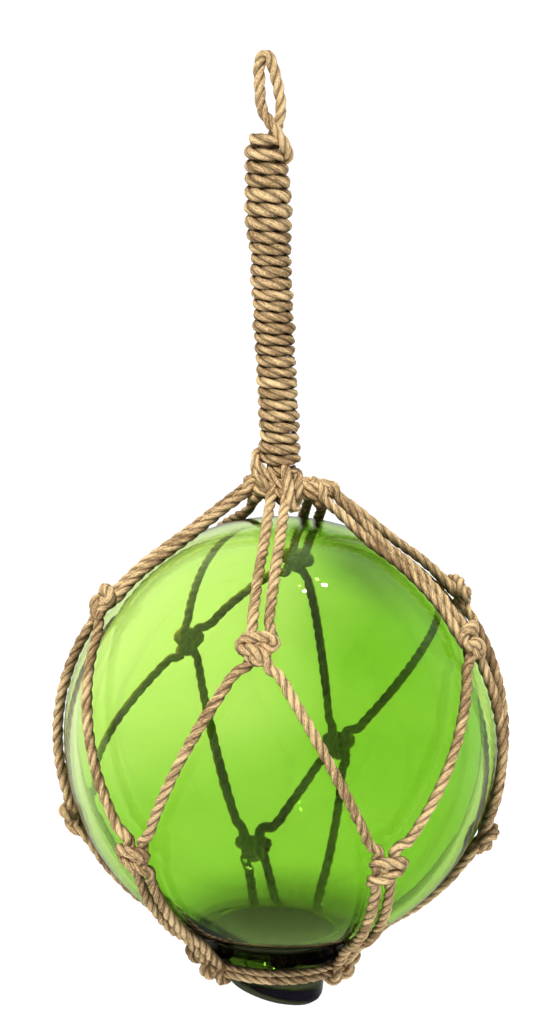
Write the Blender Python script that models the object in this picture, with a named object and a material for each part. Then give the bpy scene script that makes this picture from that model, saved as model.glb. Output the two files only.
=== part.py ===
"""Glass float ball in a knotted cord net, hanging from a whipped cord handle.

Units are metres and +Z is up. The front is -Y and the right is +X. The origin is the inside
top of the handle's eye, where a hook or nail carries the float. Azimuths are counted from
the front, positive to the right. The net and the ball lean a little on the handle, so they
are laid out in a frame of their own, whose origin is the ball's centre.
"""

from math import asin, cos, exp, pi, radians, sin, sqrt, tan

import bmesh
import bpy
from mathutils import Matrix, Vector

# Driving dimensions of the glass.
BALL_DIAMETER = 0.150
SEAL_NECK_RADIUS = 0.0165
SEAL_RADIUS = 0.0180
SEAL_DROP = 0.0155
SEAL_TILT_DEG = 13.0
SEAL_TILT_SHARE = 0.5
BALL_LEAN_DEG = 3.5

# Driving dimensions of the cord and of the air left between touching pieces.
CORD_DIAMETER = 0.0038
EYE_CORD_DIAMETER = 0.0040
GAP = 0.0003
RING_GAP = 0.0005

# Driving dimensions of the rings that close the net above and below the ball.
TOP_RING_LIFT = 0.0105
TOP_RING_HALF_LENGTH = 0.0132
TOP_RING_HALF_WIDTH = 0.0082
TOP_RING_PINCH = 0.66
TOP_RING_PINCH_X = 0.0009
TOP_RING_PINCH_LENGTH = 0.0065
BOTTOM_RING_RADIUS = 0.0262
BOTTOM_RING_DROP = 0.0050

# Driving dimensions of the handle.
WHIP_TURNS = 26
WHIP_PITCH = 0.0039
WHIP_CORE_DIAMETER = 0.0050
WHIP_FOOT = 0.0088
HITCH_HEIGHT = 0.0104
EYE_HEIGHT = 0.0228
EYE_WIDTH = 0.0062
HANDLE_SWAY = 0.0020

# How finely the round shapes are cut into flat faces.
BALL_STEPS = 30
BALL_RINGS = 13
TOP_RING_STEPS = 24
BOTTOM_RING_STEPS = 26
WHIP_POINTS_PER_TURN = 7
CORE_STEPS = 5
FLAT_ANGLE_DEG = 4.0
ROUTE_STEP = 3.6 * CORD_DIAMETER
HOOK_STEP_DEG = 67.0

# Sizes worked out from the driving dimensions.
BALL_RADIUS = BALL_DIAMETER / 2
CORD_RADIUS = CORD_DIAMETER / 2
EYE_CORD_RADIUS = EYE_CORD_DIAMETER / 2
WHIP_CORE_RADIUS = WHIP_CORE_DIAMETER / 2
NET_RADIUS = (BALL_RADIUS + GAP + CORD_RADIUS) / cos(ROUTE_STEP / BALL_DIAMETER)
TOP_RING_HEIGHT = BALL_RADIUS + TOP_RING_LIFT
BOTTOM_RING_HEIGHT = -(BALL_RADIUS + BOTTOM_RING_DROP)
HOOK_RADIUS = (CORD_DIAMETER + RING_GAP) / cos(radians(HOOK_STEP_DEG / 2))
WHIP_FOOT_HEIGHT = TOP_RING_HEIGHT + WHIP_FOOT
WHIP_TOP_HEIGHT = WHIP_FOOT_HEIGHT + WHIP_TURNS * WHIP_PITCH
EYE_FOOT_HEIGHT = WHIP_TOP_HEIGHT + HITCH_HEIGHT
BALL_TO_EYE = EYE_FOOT_HEIGHT + EYE_HEIGHT

# The seal's outline below its neck: the radius it is a share of, the share, and the share of the drop.
SEAL_OUTLINE = [
    (SEAL_NECK_RADIUS, 0.97, 0.25),
    (SEAL_RADIUS, 1.0, 0.50),
    (SEAL_RADIUS, 1.0, 0.70),
    (SEAL_RADIUS, 0.90, 0.86),
    (SEAL_RADIUS, 0.66, 0.97),
    (SEAL_RADIUS, 0.0, 1.0),
]

# Knots of the net: azimuth in degrees and height over the ball's centre in ball radii.
KNOTS = {
    "front_left": (-77.5, 0.640),
    "front": (-8.0, 0.605),
    "front_right": (64.5, 0.575),
    "back_right": (106.5, 0.640),
    "back": (175.5, 0.645),
    "back_left": (-150.0, 0.190),
    "low_front_left": (-38.5, -0.352),
    "low_front_right": (27.5, -0.340),
    "low_right": (90.0, -0.440),
    "low_back_right": (161.0, -0.325),
    "low_back": (-170.5, -0.780),
    "low_left": (-97.0, -0.440),
}

# Cords from the top ring to a knot: the knot and the azimuth at which the cord meets the ring.
TOP_CORDS = [
    ("front_left", -112.0),
    ("front_left", -68.0),
    ("front", -41.0),
    ("front", -22.5),
    ("front_right", 49.0),
    ("front_right", 79.0),
    ("back_right", 103.0),
    ("back", 124.0),
    ("back", 144.0),
    ("back_left", -141.0),
]

# Cords from one knot to another.
MESH_CORDS = [
    ("front_left", "low_left"),
    ("front_left", "low_front_left"),
    ("front", "low_front_left"),
    ("front", "low_front_right"),
    ("front_right", "low_front_right"),
    ("front_right", "low_right"),
    ("back_right", "low_right"),
    ("back_right", "low_back_right"),
    ("back", "low_back_right"),
    ("back", "back_left"),
    ("back_left", "low_left"),
    ("back_left", "low_back"),
    ("low_back_right", "low_back"),
]

# Cords from a knot to the bottom ring: the knot and the azimuth on the ring.
BOTTOM_CORDS = [
    ("low_left", -104.0),
    ("low_left", -90.0),
    ("low_front_left", -55.0),
    ("low_front_left", -40.0),
    ("low_front_right", 50.0),
    ("low_front_right", 66.0),
    ("low_right", 92.0),
    ("low_right", 107.0),
    ("low_back_right", 150.0),
    ("low_back", 176.0),
    ("low_back", -166.0),
]

# How far a cord reaches short of a knot's middle, and how far two cords to one knot stand apart
# from its middle there, in cord diameters.
KNOT_REACH = 0.5
PAIR_SPREAD = 0.7

# The angles between which a net cord goes round each ring: 0 points away from the axis and 90 up.
TOP_HOOK_DEG = (-15.0, 320.0)
BOTTOM_HOOK_DEG = (45.0, -290.0)

# Turns of a knot, each a list of points given in cord radii: right, up and out from the glass.
KNOT_TURNS = [
    [(-2.9, -1.9, 0.2), (-1.2, -0.8, 1.3), (1.2, 0.8, 1.3), (2.9, 1.9, 0.2)],
    [(-2.8, 1.9, 0.4), (-1.0, 0.9, 2.3), (1.2, -0.9, 2.3), (2.9, -2.0, 0.4)],
]

# The hitch over the whipping: azimuth, distance from the handle's middle in whipping radii and
# height in hitch heights.
HITCH_ROUTE = [
    (-550.0, 1.0, 0.82),
    (-500.0, 1.0, 0.80),
    (-450.0, 1.0, 0.78),
    (-400.0, 1.05, 0.74),
    (-350.0, 1.20, 0.62),
    (-310.0, 1.45, 0.44),
    (-270.0, 1.40, 0.33),
    (-225.0, 1.1, 0.26),
    (-180.0, 1.0, 0.20),
    (-135.0, 1.0, 0.15),
    (-90.0, 1.0, 0.10),
    (-45.0, 1.0, 0.05),
]

# The turn that rides over the last turns: azimuth, rise in cord diameters and height in turns.
RIDING_ROUTE = [
    (-190.0, 0.35, 2.6),
    (-150.0, 0.75, 2.4),
    (-110.0, 0.95, 2.0),
    (-70.0, 1.0, 1.4),
    (-30.0, 0.95, 0.9),
    (10.0, 0.5, 0.6),
]

# The eye, in eye widths to the right and eye heights up from its foot.
EYE_ROUTE = [
    (0.0, -0.08),
    (-0.12, 0.05),
    (-0.24, 0.30),
    (-0.25, 0.62),
    (-0.21, 0.86),
    (0.02, 1.0),
    (0.33, 0.90),
    (0.58, 0.62),
    (0.80, 0.32),
    (0.50, 0.10),
    (0.0, -0.08),
]

# The hitch round the pinched top ring: back and forth in half widths and up in hook radii.
HITCH_AZIMUTH_DEG = 4.0
RING_HITCH_ROUTE = [
    (-0.55, 1.30),
    (-0.95, 0.55),
    (-1.00, -0.30),
    (-0.62, -1.00),
    (0.00, -1.05),
    (0.62, -1.00),
    (1.00, -0.30),
    (0.95, 0.55),
    (0.55, 1.30),
]

GLASS_COLOUR = (0.33, 0.70, 0.06, 1.0)
GLASS_ROUGHNESS = 0.05
GLASS_ALPHA = 0.35
CORD_COLOUR = (0.46, 0.28, 0.13, 1.0)
CORD_ROUGHNESS = 0.9


def clear_scene():
    """Remove whatever the scene holds."""
    for item in list(bpy.data.objects):
        bpy.data.objects.remove(item, do_unlink=True)


def make_material(name, colour, roughness, alpha=1.0):
    """One plain finish: a Principled BSDF with a colour, a roughness and an alpha."""
    material = bpy.data.materials.new(name)
    material.use_nodes = True
    shader = material.node_tree.nodes["Principled BSDF"]
    shader.inputs["Base Color"].default_value = colour
    shader.inputs["Roughness"].default_value = roughness
    shader.inputs["Metallic"].default_value = 0.0
    shader.inputs["Alpha"].default_value = alpha
    return material


def make_empty(name, parent=None):
    """An empty that other objects hang from."""
    empty = bpy.data.objects.new(name, None)
    bpy.context.collection.objects.link(empty)
    empty.parent = parent
    return empty


def make_object(name, mesh, material, parent=None):
    """Wrap a mesh in a named object with its material."""
    mesh.materials.clear()
    mesh.materials.append(material)
    item = bpy.data.objects.new(name, mesh)
    bpy.context.collection.objects.link(item)
    item.parent = parent
    return item


def smooth_route(points, step, cyclic=False):
    """Points a step apart along a smooth curve through the given points."""
    knots = [Vector(point) for point in points]
    count = len(knots)
    spans = count if cyclic else count - 1
    route = []
    for index in range(spans):
        if cyclic:
            before, start, end, after = (knots[(index + shift) % count] for shift in (-1, 0, 1, 2))
        else:
            before = knots[max(index - 1, 0)]
            start = knots[index]
            end = knots[index + 1]
            after = knots[min(index + 2, count - 1)]
        pieces = max(1, round((end - start).length / step))
        for piece in range(pieces):
            t = piece / pieces
            route.append(0.5 * (2 * start + (end - before) * t
                                + (2 * before - 5 * start + 4 * end - after) * t ** 2
                                + (3 * start - before - 3 * end + after) * t ** 3))
    if not cyclic:
        route.append(knots[-1])
    return route


def cord_mesh(name, route, radius, cyclic=False):
    """A round cord along a route, as a mesh with closed ends."""
    curve = bpy.data.curves.new(name, "CURVE")
    curve.dimensions = "3D"
    curve.bevel_depth = radius
    curve.bevel_resolution = 1
    curve.use_fill_caps = True
    spline = curve.splines.new("POLY")
    spline.points.add(len(route) - 1)
    for point, place in zip(spline.points, route):
        point.co = (*place, 1.0)
    spline.use_cyclic_u = cyclic
    item = bpy.data.objects.new(name, curve)
    bpy.context.collection.objects.link(item)
    shape = item.evaluated_get(bpy.context.evaluated_depsgraph_get())
    mesh = bpy.data.meshes.new_from_object(shape)
    mesh.name = name
    bpy.data.objects.remove(item, do_unlink=True)
    bpy.data.curves.remove(curve)
    return mesh


def clean_union(mesh):
    """Fill the voids shut in between fused pieces and join the faces that lie flat together."""
    shape = bmesh.new()
    shape.from_mesh(mesh)
    skins = []
    waiting = set(shape.verts)
    while waiting:
        skin = set()
        front = [next(iter(waiting))]
        while front:
            vert = front.pop()
            if vert not in skin:
                skin.add(vert)
                front.extend(edge.other_vert(vert) for edge in vert.link_edges)
        waiting -= skin
        skins.append(skin)
    inner = sorted(skins, key=len)[:-1]
    bmesh.ops.delete(shape, geom=[vert for skin in inner for vert in skin], context="VERTS")
    bmesh.ops.dissolve_limit(shape, angle_limit=radians(FLAT_ANGLE_DEG), verts=shape.verts, edges=shape.edges)
    shape.to_mesh(mesh)
    shape.free()


def fuse(name, meshes):
    """Union of touching closed meshes, as one mesh."""
    pieces = bpy.data.collections.new(name + "_pieces")
    bpy.context.scene.collection.children.link(pieces)
    items = [bpy.data.objects.new(name + "_piece", mesh) for mesh in meshes]
    base = items[0]
    bpy.context.collection.objects.link(base)
    for item in items[1:]:
        pieces.objects.link(item)
    union = base.modifiers.new("fuse", "BOOLEAN")
    union.operation = "UNION"
    union.solver = "EXACT"
    union.operand_type = "COLLECTION"
    union.collection = pieces
    shape = base.evaluated_get(bpy.context.evaluated_depsgraph_get())
    mesh = bpy.data.meshes.new_from_object(shape)
    mesh.name = name
    for item in items:
        bpy.data.objects.remove(item, do_unlink=True)
    bpy.data.collections.remove(pieces)
    clean_union(mesh)
    return mesh


def around(azimuth_deg, radius, height):
    """The point at an azimuth, a distance from the axis and a height."""
    azimuth = radians(azimuth_deg)
    return Vector((radius * sin(azimuth), -radius * cos(azimuth), height))


def knot_place(name, lift=0.0):
    """The middle of a knot, on the layer where the cords lie on the glass."""
    azimuth, share = KNOTS[name]
    height = share * BALL_RADIUS
    place = around(azimuth, sqrt(BALL_RADIUS ** 2 - height ** 2), height)
    return place.normalized() * (NET_RADIUS + lift)


def taut_cord(start, end):
    """Route of a taut cord from start to end that bends only where the ball is in its way."""
    pieces = max(2, round((end - start).length / ROUTE_STEP))
    route = []
    for piece in range(pieces + 1):
        place = start.lerp(end, piece / pieces)
        if place.length < NET_RADIUS:
            place = place.normalized() * NET_RADIUS
        route.append(place)
    return route


def cord_end_at(name, towards, side=0.0):
    """Where a cord that comes from a point ends inside a knot."""
    place = knot_place(name)
    reach = KNOT_REACH * CORD_DIAMETER / (towards - place).length
    return place.lerp(towards, reach) + sideways(name) * side


def sideways(name):
    """Unit vector to the right at a knot, seen from outside."""
    azimuth = radians(KNOTS[name][0])
    return Vector((cos(azimuth), sin(azimuth), 0.0))


def top_ring_point(azimuth_deg):
    """A point on the top ring, an oval that the handle's hitch pinches together."""
    azimuth = radians(azimuth_deg)
    x = TOP_RING_HALF_LENGTH * sin(azimuth)
    squeeze = exp(-((x - TOP_RING_PINCH_X) / TOP_RING_PINCH_LENGTH) ** 2)
    y = -TOP_RING_HALF_WIDTH * cos(azimuth) * (1 - TOP_RING_PINCH * squeeze)
    return Vector((x, y, TOP_RING_HEIGHT))


def bottom_ring_point(azimuth_deg):
    """A point on the round bottom ring."""
    return around(azimuth_deg, BOTTOM_RING_RADIUS, BOTTOM_RING_HEIGHT)


def hook_route(ring_point, azimuth_deg, hook_deg):
    """A cord's turn round a ring, from its end to where it leaves for its knot."""
    leaving_deg, end_deg = hook_deg
    along = ring_point(azimuth_deg + 1) - ring_point(azimuth_deg - 1)
    away = along.cross(Vector((0.0, 0.0, 1.0))).normalized()
    steps = max(1, round(abs(leaving_deg - end_deg) / HOOK_STEP_DEG))
    route = []
    for step in range(steps + 1):
        angle = radians(end_deg + (leaving_deg - end_deg) * step / steps)
        offset = away * cos(angle) + Vector((0.0, 0.0, 1.0)) * sin(angle)
        route.append(ring_point(azimuth_deg) + offset * HOOK_RADIUS)
    return route


def ring_cord(name, ring_point, azimuth_deg, hook_deg, side):
    """A cord that hooks round a ring and runs down or up to a knot."""
    hook = hook_route(ring_point, azimuth_deg, hook_deg)
    end = cord_end_at(name, hook[-1], side)
    return hook + taut_cord(hook[-1], end)[1:]


def knot_turns(name):
    """Routes of the turns that make up a knot."""
    out = knot_place(name).normalized()
    right = sideways(name)
    up = out.cross(right)
    middle = knot_place(name)
    routes = []
    for turn in KNOT_TURNS:
        routes.append([middle + CORD_RADIUS * (right * u + up * v + out * w) for u, v, w in turn])
    return routes


def net_mesh():
    """The whole net: its cords and knots in one piece."""
    routes = []
    for cords, ring_point, hook_deg in ((TOP_CORDS, top_ring_point, TOP_HOOK_DEG),
                                        (BOTTOM_CORDS, bottom_ring_point, BOTTOM_HOOK_DEG)):
        partners = [name for name, _ in cords]
        for index, (name, azimuth_deg) in enumerate(cords):
            side = 0.0
            if partners.count(name) == 2:
                first_of_pair = partners.index(name) == index
                side = CORD_DIAMETER * (-PAIR_SPREAD if first_of_pair else PAIR_SPREAD)
            routes.append(ring_cord(name, ring_point, azimuth_deg, hook_deg, side))
    for start, end in MESH_CORDS:
        routes.append(taut_cord(cord_end_at(start, knot_place(end)), cord_end_at(end, knot_place(start))))
    for name in KNOTS:
        routes.extend(knot_turns(name))
    return fuse("net", [cord_mesh("net_cord", route, CORD_RADIUS) for route in routes])


def ring_mesh(name, ring_point, count):
    """A closed ring of cord."""
    route = [ring_point(360.0 * index / count) for index in range(count)]
    return cord_mesh(name, route, CORD_RADIUS, cyclic=True)


def glass_outline():
    """Half outline of the ball and its seal, from the top pole down to the bottom pole."""
    end_angle = pi - asin(SEAL_NECK_RADIUS / BALL_RADIUS)
    outline = []
    for index in range(BALL_RINGS + 1):
        angle = end_angle * index / BALL_RINGS
        outline.append((BALL_RADIUS * sin(angle), BALL_RADIUS * cos(angle)))
    neck = outline[-1][1]
    foot = -(BALL_RADIUS + SEAL_DROP)
    drop = neck - foot
    for radius, radius_share, drop_share in SEAL_OUTLINE:
        outline.append((radius * radius_share, neck - drop * drop_share))
    return outline


def glass_mesh():
    """The ball with its seal, turned from the outline, and the seal pressed on askew."""
    shape = bmesh.new()
    outline = glass_outline()
    rings = []
    for radius, height in outline:
        if radius == 0.0:
            rings.append([shape.verts.new((0.0, 0.0, height))])
        else:
            rings.append([shape.verts.new(around(360.0 * step / BALL_STEPS, radius, height))
                          for step in range(BALL_STEPS)])
    for upper, lower in zip(rings, rings[1:]):
        for step in range(BALL_STEPS):
            after = (step + 1) % BALL_STEPS
            corners = [upper[step % len(upper)], lower[step % len(lower)],
                       lower[after % len(lower)], upper[after % len(upper)]]
            shape.faces.new(list(dict.fromkeys(corners)))
    neck = outline[BALL_RINGS][1]
    for vert in shape.verts:
        share = min(1.0, max(0.0, (neck - vert.co.z) / (SEAL_TILT_SHARE * SEAL_DROP)))
        vert.co.z -= share * tan(radians(SEAL_TILT_DEG)) * vert.co.x
    bmesh.ops.recalc_face_normals(shape, faces=shape.faces)
    mesh = bpy.data.meshes.new("glass_float")
    shape.to_mesh(mesh)
    shape.free()
    mesh.shade_smooth()
    return mesh


def handle_x(height):
    """How far the handle's middle stands to the right at a height over the ball's centre."""
    share = (WHIP_TOP_HEIGHT - height) / (WHIP_TOP_HEIGHT - WHIP_FOOT_HEIGHT)
    share = min(1.0, max(0.0, share))
    return HANDLE_SWAY * share * share * (3 - 2 * share)


def handle_point(azimuth_deg, radius, height):
    """A point round the handle's middle line."""
    return around(azimuth_deg, radius, height) + Vector((handle_x(height), 0.0, 0.0))


def whipping_mesh():
    """The cord wound round the handle: the hitch above, the close turns and a riding turn."""
    layer = (WHIP_CORE_RADIUS + GAP + CORD_RADIUS) / cos(pi / WHIP_POINTS_PER_TURN)
    first_height = WHIP_TOP_HEIGHT - CORD_RADIUS
    turn_deg = 360.0 / WHIP_POINTS_PER_TURN
    hitch = [handle_point(azimuth, layer * spread, first_height + HITCH_HEIGHT * share)
             for azimuth, spread, share in HITCH_ROUTE]
    count = (WHIP_TURNS - 1) * WHIP_POINTS_PER_TURN
    wound = [handle_point(turn_deg * index, layer, first_height - WHIP_PITCH * index / WHIP_POINTS_PER_TURN)
             for index in range(count + 1)]
    riding = [handle_point(azimuth, layer + CORD_DIAMETER * rise, WHIP_FOOT_HEIGHT + WHIP_PITCH * turns)
              for azimuth, rise, turns in RIDING_ROUTE]
    return fuse("handle_whipping", [cord_mesh("whip", hitch + wound, CORD_RADIUS),
                                    cord_mesh("riding", smooth_route(riding, CORD_DIAMETER), CORD_RADIUS)])


def loop_mesh():
    """The cord that carries the float: its eye, its bound legs and its hitch round the top ring."""
    eye_foot = Vector((0.0, 0.0, EYE_FOOT_HEIGHT))
    across = Vector((EYE_WIDTH, 0.0, 0.0))
    tall = Vector((0.0, 0.0, EYE_HEIGHT + EYE_CORD_RADIUS))
    eye = [eye_foot + across * u + tall * v for u, v in EYE_ROUTE]
    core_heights = [EYE_FOOT_HEIGHT]
    core_heights += [WHIP_TOP_HEIGHT + (WHIP_FOOT_HEIGHT - WHIP_TOP_HEIGHT) * step / CORE_STEPS
                     for step in range(CORE_STEPS + 1)]
    core = [Vector((handle_x(height), 0.0, height)) for height in core_heights]
    lean = Matrix.Rotation(radians(BALL_LEAN_DEG), 3, "Y")
    pinched = top_ring_point(HITCH_AZIMUTH_DEG)
    half_width = -pinched.y + (CORD_DIAMETER + RING_GAP)
    hitch = [lean @ Vector((pinched.x, half_width * u, TOP_RING_HEIGHT + HOOK_RADIUS * v))
             for u, v in RING_HITCH_ROUTE]
    foot = core[-1]
    inside = foot + Vector((0.0, 0.0, CORD_DIAMETER))
    hitch = [inside, *hitch, inside]
    return fuse("hanging_loop", [cord_mesh("core", core, WHIP_CORE_RADIUS),
                                 cord_mesh("eye", smooth_route(eye, EYE_CORD_DIAMETER), EYE_CORD_RADIUS),
                                 cord_mesh("ring_hitch", hitch, CORD_RADIUS)])


def build():
    """Build every piece of the float."""
    clear_scene()
    glass = make_material("green_glass", GLASS_COLOUR, GLASS_ROUGHNESS, GLASS_ALPHA)
    cord = make_material("jute_cord", CORD_COLOUR, CORD_ROUGHNESS)
    hang_point = make_empty("hang_point")
    ball_centre = make_empty("ball_centre", hang_point)
    ball_centre.location = (0.0, 0.0, -BALL_TO_EYE)
    ball_centre.rotation_euler = (0.0, radians(BALL_LEAN_DEG), 0.0)
    make_object("glass_float", glass_mesh(), glass, ball_centre)
    make_object("net", net_mesh(), cord, ball_centre)
    top_ring = ring_mesh("top_ring", top_ring_point, TOP_RING_STEPS)
    make_object("top_ring", top_ring, cord, ball_centre)
    bottom_ring = ring_mesh("bottom_ring", bottom_ring_point, BOTTOM_RING_STEPS)
    make_object("bottom_ring", bottom_ring, cord, ball_centre)
    handle_frame = make_empty("handle_frame", hang_point)
    handle_frame.location = (0.0, 0.0, -BALL_TO_EYE)
    make_object("handle_whipping", whipping_mesh(), cord, handle_frame)
    make_object("hanging_loop", loop_mesh(), cord, handle_frame)


build()
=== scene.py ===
"""Looks of a blown glass float ball that hangs by a whipped cord handle in a knotted cord net.

Units are metres and +Z is up. The front is -Y and the right is +X. Azimuths are counted from the
front, positive to the right. The origin is the inside top of the handle's eye. The ball and its
net lean a little on the handle, so they are laid out about the ball's centre and then leaned.
"""

import logging
from dataclasses import dataclass, field, replace
from enum import Enum
from math import acos, asin, cos, exp, pi, radians, sin, sqrt, tan

import bpy
import numpy as np
from mathutils import Matrix, Vector


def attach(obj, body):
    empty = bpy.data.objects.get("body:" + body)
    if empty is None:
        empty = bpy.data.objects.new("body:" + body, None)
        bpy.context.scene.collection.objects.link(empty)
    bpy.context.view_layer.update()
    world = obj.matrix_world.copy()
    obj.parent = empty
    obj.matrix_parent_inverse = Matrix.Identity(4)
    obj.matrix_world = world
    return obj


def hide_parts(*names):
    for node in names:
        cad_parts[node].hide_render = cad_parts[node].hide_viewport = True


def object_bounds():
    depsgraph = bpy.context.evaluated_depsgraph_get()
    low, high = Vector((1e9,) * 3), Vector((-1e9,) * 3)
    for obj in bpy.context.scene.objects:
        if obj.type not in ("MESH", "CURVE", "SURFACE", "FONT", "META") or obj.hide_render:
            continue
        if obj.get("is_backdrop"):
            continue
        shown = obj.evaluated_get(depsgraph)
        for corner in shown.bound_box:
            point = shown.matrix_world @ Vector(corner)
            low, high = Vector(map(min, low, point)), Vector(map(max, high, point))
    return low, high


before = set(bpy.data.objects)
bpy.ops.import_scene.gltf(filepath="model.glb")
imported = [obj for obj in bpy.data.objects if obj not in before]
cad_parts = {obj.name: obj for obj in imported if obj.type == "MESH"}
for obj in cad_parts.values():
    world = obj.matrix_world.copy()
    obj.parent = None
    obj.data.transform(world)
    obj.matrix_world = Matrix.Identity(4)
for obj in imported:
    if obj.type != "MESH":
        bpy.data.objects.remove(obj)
CAD_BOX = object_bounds()

LOG = logging.getLogger("glass_float")

Route = np.ndarray
Point = tuple[float, float, float]
Colour = tuple[float, float, float]
Outline = list[tuple[float, float]]
Pairs = tuple[tuple[float, float], ...]
Points = tuple[Point, ...]
Socket = bpy.types.NodeSocket

BALL_RADIUS = 0.075
BALL_TO_EYE = 0.2289
BALL_LEAN_DEG = 3.5
CORD_DIAMETER = 0.0038
CORD_RADIUS = CORD_DIAMETER / 2
EYE_CORD_RADIUS = 0.0020
GAP = 0.00015
MM = 0.001
NET_RADIUS = BALL_RADIUS + GAP + CORD_RADIUS
BALL_CENTRE = Vector((0.0, 0.0, -BALL_TO_EYE))
LEAN = Matrix.Rotation(radians(BALL_LEAN_DEG), 3, "Y")
SEAL_TINT: Colour = (0.050, 0.057, 0.028)
# Mostly diffuse grey-violet of the cavity floor, a painted reflection of the white surroundings on the floor's
# top.
PAINTED_REFLECTION_TINT: Colour = (0.13, 0.052, 0.56)


class Part(Enum):
    """Material slots of the record."""

    GLASS = "glass"
    CORD = "cord"


class Marks(Enum):
    """Mesh attributes that the cord's finish reads."""

    PLACE = "strand_place"
    SHADE = "strand_shade"


def around(azimuth_deg: float, radius: float, height: float) -> np.ndarray:
    """Find the point at an azimuth, a distance from the axis and a height.

    Args:
        azimuth_deg: Azimuth in degrees from the front, positive to the right.
        radius: Distance from the axis.
        height: Height.

    Returns:
        The point.
    """
    azimuth = radians(azimuth_deg)
    return np.array((radius * sin(azimuth), -radius * cos(azimuth), height))


def unit(vector: np.ndarray) -> np.ndarray:
    """Scale a vector to length one."""
    return vector / np.linalg.norm(vector)


def smooth_route(points: list[np.ndarray], step: float, closed: bool = False) -> Route:
    """Lay an even route along a smooth curve through chosen points.

    Args:
        points: The points that the curve goes through.
        step: Distance between two points of the route.
        closed: Whether the curve comes back to its first point.

    Returns:
        The route's points, one a row.
    """
    chosen = np.array(points, dtype=float)
    count = len(chosen)
    if closed:
        padded = np.vstack((chosen[-1], chosen, chosen[:2]))
    else:
        padded = np.vstack((2 * chosen[0] - chosen[1], chosen, 2 * chosen[-1] - chosen[-2]))
    pieces = []
    for index in range(count if closed else count - 1):
        corner = padded[index:index + 4]
        gaps = np.sqrt(np.maximum(np.linalg.norm(np.diff(corner, axis=0), axis=1), 1e-7))
        knots = np.concatenate(([0.0], np.cumsum(gaps)))
        fine = max(4, int(np.linalg.norm(corner[2] - corner[1]) / step * 3))
        times = np.linspace(knots[1], knots[2], fine, endpoint=False)[:, None]
        first = [((knots[k + 1] - times) * corner[k] + (times - knots[k]) * corner[k + 1])
                 / (knots[k + 1] - knots[k]) for k in range(3)]
        second = [((knots[k + 2] - times) * first[k] + (times - knots[k]) * first[k + 1])
                  / (knots[k + 2] - knots[k]) for k in range(2)]
        pieces.append(((knots[2] - times) * second[0] + (times - knots[1]) * second[1])
                      / (knots[2] - knots[1]))
    last = chosen[:1] if closed else chosen[-1:]
    dense = np.vstack((*pieces, last))
    return even_route(dense, step, closed)


def even_route(dense: Route, step: float, closed: bool = False) -> Route:
    """Space a route's points evenly.

    Args:
        dense: Points along the route, the first one repeated at the end if it is closed.
        step: Distance between two points.
        closed: Whether the route comes back to its first point.

    Returns:
        The even points, without the repeated one.
    """
    length = np.concatenate(([0.0], np.cumsum(np.linalg.norm(np.diff(dense, axis=0), axis=1))))
    count = max(3, int(round(length[-1] / step)))
    places = np.linspace(0.0, length[-1], count + 1)
    even = np.column_stack([np.interp(places, length, dense[:, axis]) for axis in range(3)])
    return even[:-1] if closed else even


def leaned(route: Route) -> Route:
    """Carry a route from the leaning ball's own frame to the part's frame."""
    return route @ np.array(LEAN).T + np.array(BALL_CENTRE)


def hung(route: Route) -> Route:
    """Carry a route of the plumb handle, with heights over the ball's centre, to the part's frame."""
    return route + np.array(BALL_CENTRE)


@dataclass(frozen=True)
class CordLay:
    """Section of a cord of three strands, laid right-handed, in shares of the cord's radius.

    The swell and the tone wander along the cord over as many rings as their reach says.
    """

    strands: int = 3
    points_per_strand: int = 6
    lay_diameters: float = 3.5
    lobe_radius: float = 0.60
    lobe_offset: float = 0.40
    ring_step: float = 0.0010
    roughness: float = 0.028
    swell: float = 0.05
    swell_reach: int = 9
    tone_swing: float = 0.2
    tone_reach: int = 25
    end_rise: float = 0.35
    end_shade: Point = (0.6, 0.2, 0.3)

    def section(self) -> tuple[np.ndarray, np.ndarray]:
        """Work out the section's outline.

        Returns:
            The angles of its points and their distances from the middle, in cord radii.
        """
        count = self.strands * self.points_per_strand
        angles = 2 * pi * np.arange(count) / count
        share = (angles * self.strands / (2 * pi)) % 1.0
        from_crest = (share - 0.5) * 2 * pi / self.strands
        across = self.lobe_offset * np.sin(from_crest)
        radii = self.lobe_offset * np.cos(from_crest) + np.sqrt(self.lobe_radius ** 2 - across ** 2)
        return angles, radii


class Against(Enum):
    """What a cord lies against, which is where its colour is darkened by painted shade."""

    NOTHING = "nothing"
    GLASS = "glass"
    OWN_TURNS = "own turns"


@dataclass
class Cord:
    """One length of cord: its route in the part's frame and how it is laid along it."""

    route: Route
    radius: float | np.ndarray = CORD_RADIUS
    closed: bool = False
    turn: float = 0.0
    tone: float = 0.5
    against: Against = Against.NOTHING

    def rings(self) -> tuple[int, np.ndarray]:
        """Count the cord's rings and give the radius of each."""
        count = len(self.route)
        return count, np.broadcast_to(np.asarray(self.radius, dtype=float), (count,))


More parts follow.
